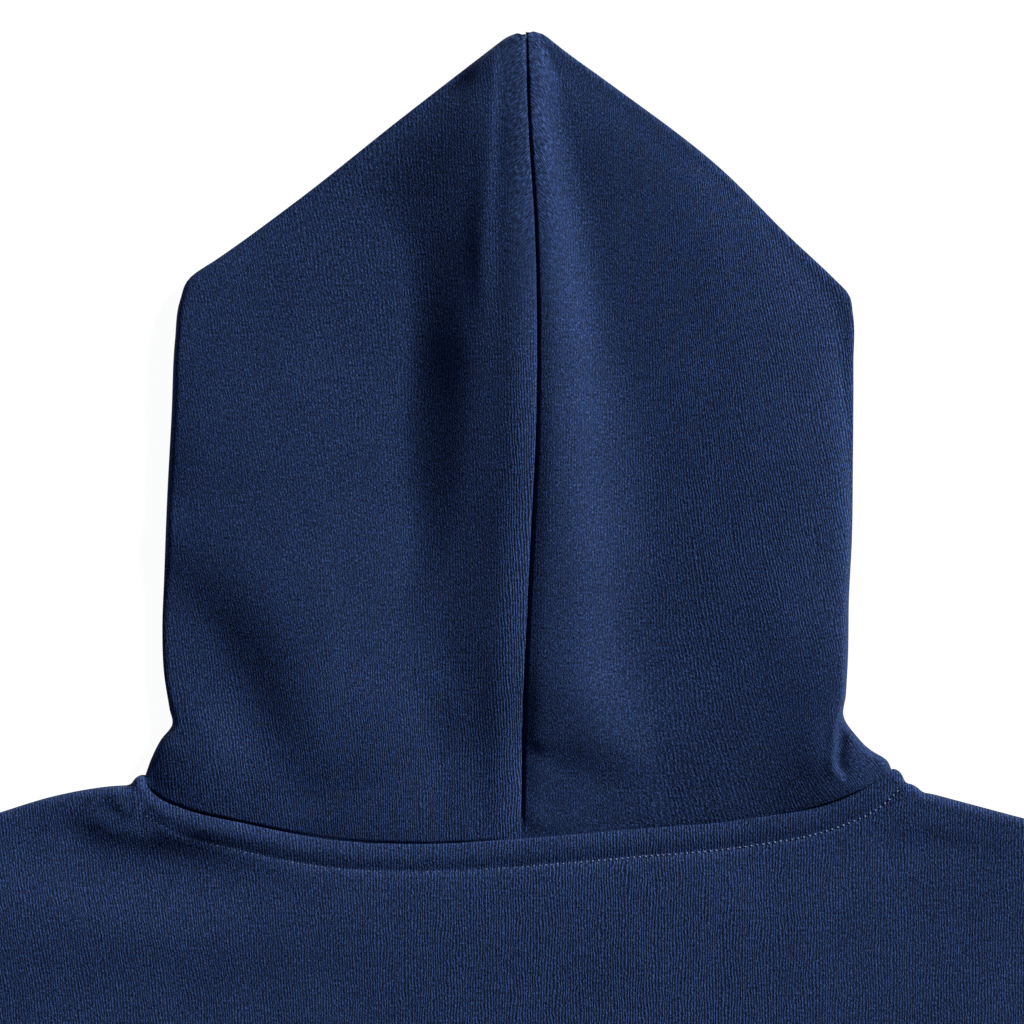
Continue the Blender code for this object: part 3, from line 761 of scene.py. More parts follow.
@dataclass(frozen=True)
class Hood:
    """Two panels that fold round the side edges and meet in the centre seam."""

    neck: NeckSeam = NeckSeam()
    wall: float = 2.2
    flat_height: float = 7.3
    roll: EdgeRoll = EdgeRoll(2.9, 3.4)
    neck_roll: EdgeRoll = EdgeRoll(2.7, 2.7)
    roll_ease: float = 26.0  # over this height the neck's roll turns into the edge's
    centre_seam: Table = (
        (0.0, -0.4), (50.0, 0.4), (106.0, 2.8), (164.0, 5.6),
        (200.0, 6.0), (240.0, 5.2), (290.0, 2.2), (324.0, 1.0),
    )
    edge_left: Table = (
        (-151.2, 25.2), (-148.6, 32.4), (-144.8, 39.8), (-140.4, 45.6),
        (-141.4, 52.0), (-143.6, 66.0), (-144.3, 84.0), (-143.6, 104.0),
        (-142.4, 136.0), (-140.6, 170.0), (-139.2, 200.0), (-137.2, 215.5),
        (-132.8, 225.0), (-122.4, 232.0), (-90.0, 255.6), (-49.6, 287.6),
        (-16.8, 313.0), (-10.8, 317.6), (-8.0, 319.7), (-6.0, 321.0),
        (-4.4, 321.75), (-3.0, 322.05),
    )
    edge_right: Table = (
        (147.6, 27.6), (144.8, 32.2), (140.0, 35.0), (132.8, 42.0),
        (128.6, 48.0), (129.2, 58.0), (130.0, 72.0), (130.4, 96.0),
        (131.6, 120.0), (132.0, 150.0), (132.2, 190.0), (132.0, 210.0),
        (130.0, 218.4), (124.8, 223.8), (108.0, 239.6), (75.2, 271.6),
        (32.8, 303.6), (16.8, 315.2), (12.2, 318.8), (9.2, 321.2),
        (7.2, 322.35), (5.6, 322.85), (4.4, 323.0),
    )
    # Height at the centre seam and at the left and right edges, then where the
    # pleat at the right edge's foot lies from the outline, and how deep it is
    rows: Table = (
        (0.0, 25.2, 27.6, 17.5, 0.0),
        (5.0, 28.2, 30.1, 18.9, 0.0),
        (8.0, 30.1, 32.1, 18.6, 0.4),
        (11.0, 32.0, 34.0, 17.0, 1.6),
        (16.0, 35.1, 37.1, 13.9, 2.3),
        (25.0, 41.0, 42.8, 7.5, 2.3),
        (34.0, 46.9, 48.1, 3.0, 1.5),
        (42.0, 52.1, 52.6, 1.2, 0.0),
        (58.0, 63.0, 63.0, 0.8, 0.0),
        (81.0, 82.0, 82.0, 0.8, 0.0),
        (106.0, 106.0, 106.0, 0.8, 0.0),
        (218.4, 218.4, 218.4, 0.8, 0.0),
        (314.0, 314.0, 314.2, 0.8, 0.0),
        (320.3, 322.05, 323.0, 0.8, 0.0),
    )
    bowed_to: float = 200.0  # up to this height the rows follow the neck seam
    plain_lip: float = 7.0  # the place of the pleat's columns where there is no pleat
    columns: tuple[int, int] = (62, 14)  # points across the upper and the lower layer
    pleat_lip: float = 0.7  # the upper layer's folded edge stands up
    pleat_place: float = 2.2  # ... this far from the fold, and this broad
    pleat_reach: float = 1.6
    pleat_step: tuple[float, float] = (0.9, -1.0)  # where the height falls beside the fold
    pleat_valley: tuple[float, float] = (-1.4, -7.0)  # ... and where it rises again
    pleat_rise: float = 0.85  # the share of the depth that the lower layer soon rises again
    opening_top: float = 262.0  # the face opening's top, under the peak ...
    opening_half: float = 32.0  # ... and half its width
    ridge: CentreRidge = CentreRidge()
    folds: tuple[Fold, ...] = (
        Fold("fullness above the neck", (
            (-152.0, 20.0, 2.8, 45.0, 14.0), (-128.0, 10.0, 4.0, 50.0, 14.0),
            (-104.0, 4.0, 2.8, 50.0, 14.0), (-75.2, -0.9, 0.9, 55.0, 12.0),
            (-10.0, -2.1, 0.2, 50.0, 12.0), (3.0, 5.0, 0.9, 9.0, 8.0),
            (35.1, 2.0, 0.65, 50.0, 12.0), (95.0, 9.1, 1.0, 50.0, 12.0),
            (125.0, 18.0, 0.4, 30.0, 12.0),
        )),
        Fold("the middle lies lower", (
            (2.0, 330.0, -0.6, 60.0, 60.0), (0.0, 250.0, -1.6, 70.0, 70.0),
            (0.0, 170.0, -2.1, 70.0, 70.0), (0.0, 120.0, -2.1, 70.0, 70.0),
            (0.0, 60.0, -0.9, 60.0, 60.0),
        )),
        Fold("the left side is fuller", (
            (-118.0, 140.0, 1.0, 60.0, 60.0), (-118.0, 85.0, 2.4, 60.0, 60.0),
            (-118.0, 40.0, 0.6, 50.0, 50.0),
        )),
        Fold("low left hollow", (
            (-147.8, 124.7, 1.6, 8.9, 12.5), (-140.1, 104.8, -1.6, 15.0, 19.1),
            (-123.5, 71.0, -6.7, 23.0, 32.8), (-106.1, 46.4, -3.8, 16.6, 16.8),
            (-94.4, 24.7, -0.9, 13.7, 13.6),
        )),
        Fold("crease beside the seam", (
            (5.6, 34.4, -0.85, 3.3, 5.0), (14.5, 30.1, -0.5, 7.5, 5.9),
            (36.1, 21.3, -0.2, 4.0, 5.3),
        )),
        Fold("rise to the right edge", (
            (80.9, 231.0, 1.3, 30.7, 27.9), (90.1, 179.0, 2.5, 34.7, 34.3),
            (108.5, 109.6, 3.2, 33.1, 41.9), (123.9, 59.0, 5.6, 26.6, 31.8),
            (118.3, 36.2, 5.2, 20.7, 16.4),
        )),
        Fold("low right hollow", (
            (56.9, 20.4, -1.1, 18.2, 12.5), (92.8, 31.9, 1.0, 17.1, 12.9),
            (113.3, 24.2, -0.3, 11.6, 12.8),
        )),
        Fold("left swell", (
            (-115.5, 198.3, -0.4, 33.6, 32.4), (-83.5, 126.5, 1.5, 54.1, 40.0),
            (-64.4, 38.0, 4.6, 52.0, 42.0), (-50.5, 25.4, 1.3, 21.0, 23.3),
        )),
        Fold("edge of the seam allowance", (
            (-11.5, 312.1, 0.7, 1.9, 3.0), (-13.4, 275.7, 0.7, 2.2, 5.1),
            (-15.9, 235.6, 1.2, 3.9, 5.1), (-14.9, 203.6, 0.2, 2.7, 3.0),
            (-11.8, 175.6, 0.0, 3.0, 3.0),
        )),
    )
    # Place up an edge or across the neck, how far the cloth drops there, and over
    # what distance
    edge_drops_left: Table = (
        (30.0, 5.3, 15.8), (60.0, 2.5, 10.8), (110.0, 3.0, 13.0),
        (150.0, 2.5, 8.8), (215.0, 0.4, 7.1), (240.0, 2.5, 10.0),
        (280.0, 4.2, 6.2), (320.0, 0.3, 3.5),
    )
    edge_drops_right: Table = (
        (36.0, 1.0, 3.7), (60.0, 1.1, 2.8), (110.0, 3.5, 2.2),
        (170.0, 5.9, 4.8), (215.0, 6.3, 8.6), (240.0, 4.0, 10.3),
        (280.0, 3.6, 8.3), (320.0, 3.8, 7.3),
    )
    neck_drops: Table = (
        (-150.0, 2.4, 11.0), (-100.0, 4.2, 10.5), (-40.0, 1.3, 7.2),
        (40.0, 2.2, 7.3), (100.0, 3.0, 7.8), (145.0, 1.0, 3.5),
    )
    neck_lip: float = 0.6  # the hood's lower edge rolls down on to the body ...
    neck_lip_reach: float = 1.1  # ... over this distance
    lip_loss: float = 0.65  # how much less of that there is right of the middle
    groove: float = 1.19  # the centre seam's soft groove ...
    groove_reach: float = 4.16
    cleft: float = 1.5  # ... and the sharp one in it
    cleft_reach: float = 0.64
    bead: float = 0.34  # the left panel's allowance swells beside the seam
    bead_place: float = -10.67
    bead_reach: float = 4.47
    floor: float = 4.7  # the lowest that the upper layer settles ...
    soft_floor: float = 0.8  # ... and how gently it does
    turned_in: Table = ((0.0, 0.7), (0.25, 2.2))  # sideways and down, into the seam

    def edge(self, side: Side) -> Array:
        """The outline of one side, from the neck seam to the peak."""
        table = np.array(self.edge_left if side is Side.LEFT else self.edge_right)
        return through(np.linspace(table[0, 1], table[-1, 1], 320), table[:, 1], table)

    def seam_x(self, height: Array) -> Array:
        """Where the centre seam runs at this height."""
        return read(self.centre_seam, height)

    def centre_heights(self) -> Array:
        """Heights of the panel's rows at the centre seam."""
        return np.r_[
            np.array((0.0, 0.25, 0.6, 1.0, 1.5, 2.1, 2.8, 3.6)),
            np.arange(4.5, 46.0, 1.1),
            np.arange(47.0, 306.0, 2.0),
            np.arange(306.0, 316.0, 1.2),
            np.linspace(316.6, 320.3, 7),
        ]

    def height(self, xy: Array, above_neck: Array, from_edge: Array, side: Side) -> Array:
        """Height of the upper layer's outer face, apart from its edge roll.

        Args:
            xy: places on the hood.
            above_neck: each place's distance from the neck seam.
            from_edge: each place's distance from the folded edge.
            side: the panel.

        Returns:
            The height at each place.
        """
        x, y = xy[..., 0], xy[..., 1]
        from_seam = x - self.seam_x(y)
        level = self.flat_height + self.ridge.relief(xy) + folded(xy, self.folds)
        edge_drops = self.edge_drops_left if side is Side.LEFT else self.edge_drops_right
        for drops, at, distance in ((edge_drops, y, from_edge), (self.neck_drops, x, above_neck)):
            drop, reach = np.moveaxis(read(drops, at), -1, 0)
            level = level - drop * np.exp(-distance / reach)
        lip = self.neck_lip * (1.0 - self.lip_loss * ease(x, -20.0, 40.0))
        level = level - lip * ease(above_neck, self.neck_lip_reach, 0.0, 0.8)
        level = level + self.bead * swell(from_seam - self.bead_place, self.bead_reach)
        level = level - self.groove * swell(from_seam, self.groove_reach)
        level = level - self.cleft * swell(from_seam, self.cleft_reach)
        soft, floor = self.soft_floor, self.floor
        settled = floor + soft * np.exp(np.minimum(level - floor - soft, 0.0) / soft)
        return np.where(level > soft + floor, level, settled)

    def ends(self, side: Side) -> Iterator[tuple[Array, Array, float]]:
        """Each row's height at the centre seam, its end at the edge and its pleat's place."""
        edge = self.edge(side)
        for centre in self.centre_heights():
            marks = read(self.rows, np.array(centre))
            end_y = float(marks[0 if side is Side.LEFT else 1])
            lip = max(float(marks[2]), self.plain_lip) if side is Side.RIGHT else self.plain_lip
            yield centre, np.array((np.interp(end_y, edge[:, 1], edge[:, 0]), end_y)), lip

    def back_places(self, side: Side) -> tuple[Array, Array]:
        """Where the upper layer's points lie, and their height above the neck seam."""
        neck = self.neck.half(side)
        rise = neck[-1][1]
        places, above = [], []
        for centre, end, lip in self.ends(side):
            end_y = end[1]
            start = float(self.seam_x(centre)) + side.value * HALF_SEAM
            near_edge = np.r_[lip + PLEAT_STEPS, np.linspace(lip - 3.2, 3.6, 4), FOLD_STEPS]
            shares = spread(abs(end[0] - start), BESIDE_SEAM, near_edge, self.columns[0])
            bow = (end_y - centre) / rise if centre < self.bowed_to else 0.0
            line = along(neck, shares)
            neck_share = (line[:, 0] - neck[0][0]) / (neck[-1][0] - neck[0][0])
            x = start + (end[0] - start) * (shares + (neck_share - shares) * bow)
            y = centre + line[:, 1] * bow
            if centre > self.bowed_to:
                y = centre + (end_y - centre) * np.sin(shares * math.pi / 2)
            y[-1] = end_y
            places.append(np.stack([x, y], axis=1))
            above.append(centre * (1 - shares) + (end_y - rise) * shares)
        return np.array(places), np.array(above)

    def front_places(self, side: Side) -> Array:
        """Where the lower layer's points lie, from the edge to the face opening."""
        front, foot = self.neck.front(side), self.neck.front_foot
        rise = front[0, 1]
        places = []
        for centre, end, _ in self.ends(side):
            end_y = end[1]
            bow = (end_y - centre) / rise if centre < self.bowed_to else 0.0
            up = np.clip((end_y - foot) / (self.opening_top - foot), 0, 1)
            opening = self.opening_half * math.sin(math.pi * up)
            free = side.value * opening + float(self.seam_x(centre))
            face_x = side.value * HALF_SEAM + free * (1 - bow)
            shares = spread(abs(end[0] - face_x), UNDER_FOLD, FACE_STEPS, self.columns[1])
            line = along(front, shares)
            share = (line[:, 0] - front[0, 0]) / (front[-1, 0] - front[0, 0])
            x = end[0] + (face_x - end[0]) * (shares + (share - shares) * bow)
            places.append(np.stack([x, end_y - (front[0, 1] - line[:, 1]) * bow], axis=1))
        return np.array(places)

    def pleated(self, level: Array, gap: Array) -> Array:
        """The upper layer's height with the pleat at the right edge's foot.

        Args:
            level: the height without it.
            gap: each place's distance from its row's end.

        Returns:
            The height at each place.
        """
        lip, deep = np.moveaxis(read(self.rows, self.centre_heights())[:, 2:, None], 1, 0)
        stands = swell(gap - lip - self.pleat_place, self.pleat_reach)
        level = level + self.pleat_lip * (deep / deep.max()) * stands
        (high, low), (lowest, risen) = self.pleat_step, self.pleat_valley
        rise = self.pleat_rise * deep * ease(gap, lip + lowest, lip + risen)
        past = gap < lip + low
        level = np.where(past, np.maximum(level - deep, LOWEST) + rise, level)
        return level - deep * ease(gap, lip + high, lip + low) * ~past

    def panel(self, side: Side) -> CutPiece:
        """One hood panel."""
        back, above = self.back_places(side)
        front = self.front_places(side)
        back[0] = beside(back[0], side.value * HALF_SEAM)
        front[0] = beside(front[0], -side.value * HALF_SEAM)
        front[0, -1, 0] = side.value * HALF_SEAM
        outline = back[:, -1]
        from_edge = distance_to(back, outline)
        from_edge[:, -1] = 0.0
        level = self.height(back, above, from_edge, side)
        if side is Side.RIGHT:
            level = self.pleated(level, np.linalg.norm(back - back[:, -1:], axis=-1))
        level = np.maximum(level, LOWEST)
        mix = ease(outline[:, 1:] - outline[0, 1], 0.0, self.roll_ease)
        reach = self.neck_roll.reach + (self.roll.reach - self.neck_roll.reach) * mix
        middle = self.neck_roll.middle + (self.roll.middle - self.neck_roll.middle) * mix
        roll = EdgeRoll(reach, middle)
        under = roll.level(distance_to(front, outline), 0.0)
        upper = raised(back, roll.level(from_edge, level))
        tucks = []
        for sideways, down in reversed(self.turned_in):
            drop = np.minimum(down, upper[:, 0, 2] - 1.5)
            level_way = np.broadcast_to((side.value * sideways, 0.0), (len(drop), 2))
            tucks.append(upper[:, 0] - raised(level_way, drop))
        points = np.concatenate([np.stack(tucks, axis=1), upper, raised(front, under)], axis=1)
        name = f"hood_{side.name.lower()}"
        nap = self.nap(points, side)
        return CutPiece(name, points, self.wall, (0.30, 0.40), 0.094, ("front", "back"), **nap)

    def nap(self, points: Array, side: Side) -> dict[str, Array]:
        """How the knit of a panel runs: its slant, its clarity and its turn at the seam."""
        x, y = points[..., 0], points[..., 1]
        off_seam = np.abs(x - self.seam_x(y))
        chevron = ease(off_seam, 13.0, 6.0) * ease(y, 190.0, 270.0)
        if side is Side.LEFT:
            lean = 0.04 + 0.13 * ease(x, -20.0, -110.0)
            plain = 0.4 + 0.4 * ease(y, 110.0, 30.0)
            plain = plain + (1.15 - plain) * ease(off_seam, 15.0, 8.0) * ease(y, 215.0, 150.0)
        else:
            lean = 0.19 * ease(x, 25.0, 105.0)
            plain = (0.3 + 0.55 * ease(x, 25.0, 80.0)) * (0.55 + 0.45 * ease(y, 40.0, 130.0))
        pleat = 0.45 * ease(x, 98.0, 132.0) * ease(y, 62.0, 42.0)
        slant = lean * (y - 130.0) + pleat * (y - 32.0)
        return {"slant": slant, "clarity": plain * (1 - chevron), "chevron": chevron}


# ------------------------------------------------------------------------ body


@dataclass(frozen=True)
class NeckBand:
    """The back's neck edge, rolled over the seam allowance and topstitched."""

    # Across, and how far from the seam the topstitch runs
    widths: Table = (
        (-157.4, 7.2), (-154.2, 7.7), (-150.0, 8.4), (-144.0, 9.3),
        (-135.0, 10.2), (-120.0, 10.8), (-100.0, 11.2), (110.0, 11.2),
        (136.0, 10.9), (142.8, 10.2), (146.8, 9.3), (149.2, 8.4),
        (151.8, 7.6), (153.2, 7.2),
    )
    # Share of the width from the seam to the topstitch, and height above the body
    section: Table = (
        (0.0, -0.5), (0.03, -0.2), (0.1, 0.06), (0.22, 0.3),
        (0.38, 0.42), (0.5, 0.34), (0.62, 0.1), (0.74, -0.28),
        (0.85, -0.7), (0.93, -0.98), (0.975, -1.02), (1.02, -0.8),
        (1.09, -0.46), (1.19, -0.2), (1.32, -0.05), (1.48, 0.0),
    )
    # Across, and how tightly the stitches pull there
    tightness: Table = ((-160.0, 0.15), (-140.0, 0.3), (-112.0, 0.6), (-84.0, 1.0))

    def width(self, x: Array) -> Array:
        """The band's width at this place across."""
        return np.interp(x, *np.array(self.widths).T)

    def relief(self, x: Array, below_neck: Array) -> Array:
        """The band's height over the body, at this distance from the seam."""
        relief = read(self.section, below_neck / self.width(x))
        tight = np.interp(x, *np.array(self.tightness).T)
        return np.where(relief < 0, tight * relief, relief)


@dataclass(frozen=True)
class Body:
    """Back and front panels, sewn at the shoulders and sides."""

    neck: NeckSeam = NeckSeam()
    band: NeckBand = NeckBand()
    wall: float = 2.2
    flat_height: float = 5.4
    roll: EdgeRoll = EdgeRoll(3.4, 2.75)
    turned_in: float = 1.6  # how deep the neck edge dips under the hood
    seam_drop: float = 0.9  # how far the seams draw the back down
    lowest: float = 4.45  # the back's outer face comes no lower on the front
    shoulder_left: Table = (
        (-151.2, 25.35), (-153.2, 25.2), (-154.8, 24.4), (-155.9, 23.2),
        (-156.7, 22.0), (-158.2, 21.3), (-160.8, 21.1), (-164.8, 20.85),
        (-170.2, 20.2), (-188.0, 16.8), (-209.2, 10.4), (-240.0, 0.2),
        (-271.4, -10.8), (-275.0, -12.0),
    )
    shoulder_right: Table = (
        (147.6, 27.75), (149.2, 27.6), (150.9, 26.5), (152.1, 24.6),
        (152.9, 22.8), (154.0, 22.0), (155.9, 21.5), (157.9, 20.3),
        (159.9, 18.6), (163.8, 17.7), (174.8, 14.8), (198.8, 8.4),
        (235.0, -0.6), (271.4, -10.8), (275.0, -12.0),
    )
    # Drop below the neck and shoulder line, and half width at the side
    widths: Table = (
        (0.0, 275.0), (24.0, 275.0), (50.0, 273.0), (95.0, 268.0),
        (150.0, 268.0), (205.0, 280.0), (241.0, 297.5), (249.0, 300.0),
        (330.0, 297.0), (450.0, 292.0), (560.0, 288.0), (618.0, 281.0),
        (640.0, 268.0),
    )
    armhole_drop: float = 245.0
    parallel_drop: float = 24.0
    shoulder_tip: tuple[float, float] = (275.0, -12.0)
    folds: tuple[Fold, ...] = (
        Fold("hump below the band's left end", (
            (-194.3, 10.4, 0.0, 8.4, 6.3), (-176.5, 11.2, 1.6, 7.6, 7.1),
            (-168.5, 9.9, 3.4, 18.3, 8.9), (-149.9, 5.5, 4.5, 20.0, 8.7),
            (-124.7, 4.8, 5.6, 18.0, 10.2), (-104.7, 2.6, 3.1, 14.2, 13.0),
            (-85.1, -4.7, 1.4, 12.1, 13.4), (-59.6, -8.3, 0.4, 10.0, 9.3),
        )),
        Fold("trough at the left shoulder", (
            (-165.8, 22.2, -0.6, 1.7, 4.5), (-167.1, 18.4, -0.8, 3.0, 7.0),
            (-163.0, 10.5, -1.0, 2.6, 5.6), (-157.3, 6.5, -1.0, 4.0, 3.5),
            (-148.0, 5.3, -0.8, 3.6, 4.6),
        )),
        Fold("roll beside the band's left end", (
            (-157.8, 21.4, 0.1, 1.6, 2.6), (-153.4, 13.5, 0.4, 2.2, 1.9),
            (-152.5, 9.5, -0.5, 2.1, 2.3),
        )),
        Fold("hollow at the right shoulder", (
            (148.0, -1.6, -0.8, 7.5, 11.6), (165.8, -1.6, -1.0, 4.4, 10.3),
            (183.8, -4.2, -0.3, 5.0, 9.8),
        )),
        Fold("broad swell across the back", (
            (-252.7, -21.1, 2.1, 23.4, 42.1), (-128.2, -38.3, 2.2, 15.6, 17.8),
            (-11.7, -22.5, 1.8, 27.7, 38.8), (127.6, -31.9, 0.9, 12.7, 39.4),
        )),
        Fold("left side drape", (
            (-255.0, -150.0, -1.5, 18.0, 22.0), (-215.0, -260.0, -2.6, 20.0, 26.0),
            (-190.0, -400.0, -1.8, 22.0, 24.0), (-200.0, -540.0, -0.6, 24.0, 20.0),
        )),
        Fold("right side drape", (
            (262.0, -170.0, -1.8, 20.0, 16.0), (228.0, -300.0, -2.4, 26.0, 18.0),
            (214.0, -430.0, -1.4, 22.0, 20.0), (232.0, -590.0, -0.5, 18.0, 20.0),
        )),
        Fold("middle drape", (
            (-60.0, -250.0, -0.5, 26.0, 22.0), (-30.0, -360.0, -1.8, 28.0, 24.0),
            (-48.0, -480.0, -1.3, 24.0, 26.0), (-20.0, -600.0, -0.4, 20.0, 20.0),
        )),
        Fold("slack above the hem", (
            (-150.0, -600.0, 0.8, 16.0, 14.0), (-20.0, -612.0, 1.6, 18.0, 14.0),
            (150.0, -604.0, 1.0, 16.0, 14.0),
        )),
    )

    def height(self, xy: Array, below_neck: Array) -> Array:
        """Height of the back's outer face, apart from its seams and edge rolls.

        Args:
            xy: places on the back.
            below_neck: each place's distance from the neck seam.

        Returns:
            The height at each place.
        """
        return self.flat_height + folded(xy, self.folds) + self.band.relief(xy[..., 0], below_neck)

    def top_line(self, as_front: bool) -> Array:
        """The neck and shoulder line from the left tip to the right one."""
        shoulder = np.linspace(1.0, 0.0, 60) ** 1.5
        left = along(self.shoulder_left, shoulder)
        right = along(self.shoulder_right, shoulder[::-1])
        halves = []
        for side in Side:
            if as_front:
                half = along(self.neck.front(side), np.linspace(0.0, 1.0, 60))[::-1]
            else:
                half = along(self.neck.half(side), np.linspace(0.0, 1.0, 96))
            halves.append(beside(half, -side.value * HALF_SEAM))
        neck = np.concatenate([halves[0][:0:-1], halves[1][:]])
        if as_front:
            left = left[left[:, 0] < neck[0, 0] - 0.3]
            right = right[right[:, 0] > neck[-1, 0] + 0.3]
        else:
            left, right = left[:-1], right[1:]
        return np.concatenate([left, neck, right])

    def drops(self, as_front: bool) -> Array:
        """How far the panel's rows lie below the neck and shoulder line."""
        if as_front:
            first, step = np.array((0.0, 1.5, 3.5, 6.0, 9.0, 12.5, 17.0)), 14.0
        else:
            band = np.r_[np.arange(1.3, 8.0, 0.75), np.arange(8.5, 13.6, 0.5)]
            first, step = np.r_[0.0, 0.15, 0.35, 0.6, 0.9, band, np.arange(14.5, 26.0, 1.6)], 2.6
        middle = np.arange(first[-1] + step, 96.0, step)
        last = np.arange(middle[-1] + 7.0, 632.0, 16.0 if as_front else 8.0)
        return np.r_[first, middle, last, 634.0, 637.0, 639.0, 640.0 - HALF_SEAM]

    def places(self, as_front: bool) -> Array:
        """Where the panel's points lie on the table."""
        top, drops = self.top_line(as_front), self.drops(as_front)
        tip_x, tip_y = self.shoulder_tip
        half = read(self.widths, drops)
        level = ease(drops, self.parallel_drop, self.armhole_drop)[:, None]
        y = (top[:, 1] - drops[:, None]) * (1 - level) + (tip_y - drops[:, None]) * level
        x = top[:, 0] * half[:, None] / tip_x
        x[drops <= self.armhole_drop] *= (tip_x - HALF_SEAM) / tip_x
        return np.stack([x, y], axis=-1)

    def panel(self, as_front: bool) -> CutPiece:
        """The front or the back."""
        xy = self.places(as_front)
        drops = self.drops(as_front)
        top = xy[0]
        neck_ends = (self.neck.left[-1][0], self.neck.right[-1][0])
        on_left = np.where(top[:, 0] <= neck_ends[0] + 0.4)[0]
        on_right = np.where(top[:, 0] >= neck_ends[1] - 0.4)[0]
        below = drops >= self.armhole_drop
        from_edge = np.full(xy.shape[:-1], np.inf)
        for line in (top[on_left], top[on_right], xy[below, 0], xy[below, -1]):
            from_edge = np.minimum(from_edge, distance_to(xy, line))
        neck_only = np.ones(len(top), bool)
        neck_only[on_left] = neck_only[on_right] = False
        from_edge[0, neck_only] = np.maximum(from_edge[0, neck_only], 0.2)
        roll = EdgeRoll(self.roll.reach, self.roll.middle + (-HALF_SEAM if as_front else HALF_SEAM))
        if as_front:
            level = np.zeros(xy.shape[:-1])
        else:
            level = self.height(xy, distance_to(xy, self.neck.back()))
            seams = by_seams(xy, [xy[~below, 0], xy[~below, -1]])
            hem = ease(drops[:, None], 636.0, 640.0)
            level = np.maximum(level - self.seam_drop * seams - self.seam_drop * hem, self.lowest)
        points = raised(xy, roll.level(from_edge, level))
        if not as_front:
            tuck = points[0] + (0.0, 0.2, 0.0)
            tuck[:, 2] -= self.turned_in * ease(points[0, :, 2], 3.2, 4.6)
            points = np.concatenate([tuck[None], points])
        name = "front" if as_front else "back"
        rests_on = ("floor",) if as_front else ("front",)
        x, y = points[..., 0], points[..., 1]
        slant = 0.14 * ease(x, -30.0, -150.0) * (y + 20.0) * ease(y, -160.0, -60.0)
        plain = (0.7 + 0.27 * ease(x, -120.0, 40.0)) * (1.0 - 0.25 * ease(x, 70.0, 150.0))
        area = 0.388 if as_front else 0.400
        return CutPiece(
            name, points, self.wall, (0.62, 0.70), area, rests_on,
            faces_down=as_front, level=True, slant=slant, clarity=plain,
        )


# ------------------------------------------------------------- flattened tubes


@dataclass(frozen=True)
class Tube:
    """A flattened tube of cloth, from rows across its upper layer.

    The lower layer comes back over the same places and lies on the table.
    """

    lines: Array  # rows by columns by xy of the upper layer
    height: Array | float  # the upper layer's outer face
    roll: EdgeRoll

    def points(self) -> Array:
        """The outer face all round, starting and ending at the first fold."""
        top = self.lines
        bottom = top[:, ::-1][:, 1:]
        edge = np.minimum(distance_to(top, top[:, 0]), distance_to(top, top[:, -1]))
        edge[:, 0] = edge[:, -1] = 0.0
        upper = raised(top, self.roll.level(edge, self.height))
        lower = raised(bottom, self.roll.level(edge[:, ::-1][:, 1:], 0.0))
        return np.concatenate([upper, lower], axis=1)


def straight(start: Array, end: Array, shares: Array) -> Array:
    """Points at these shares of a straight line."""
    return np.asarray(start, float) + (np.asarray(end, float) - start) * np.asarray(shares)[:, None]


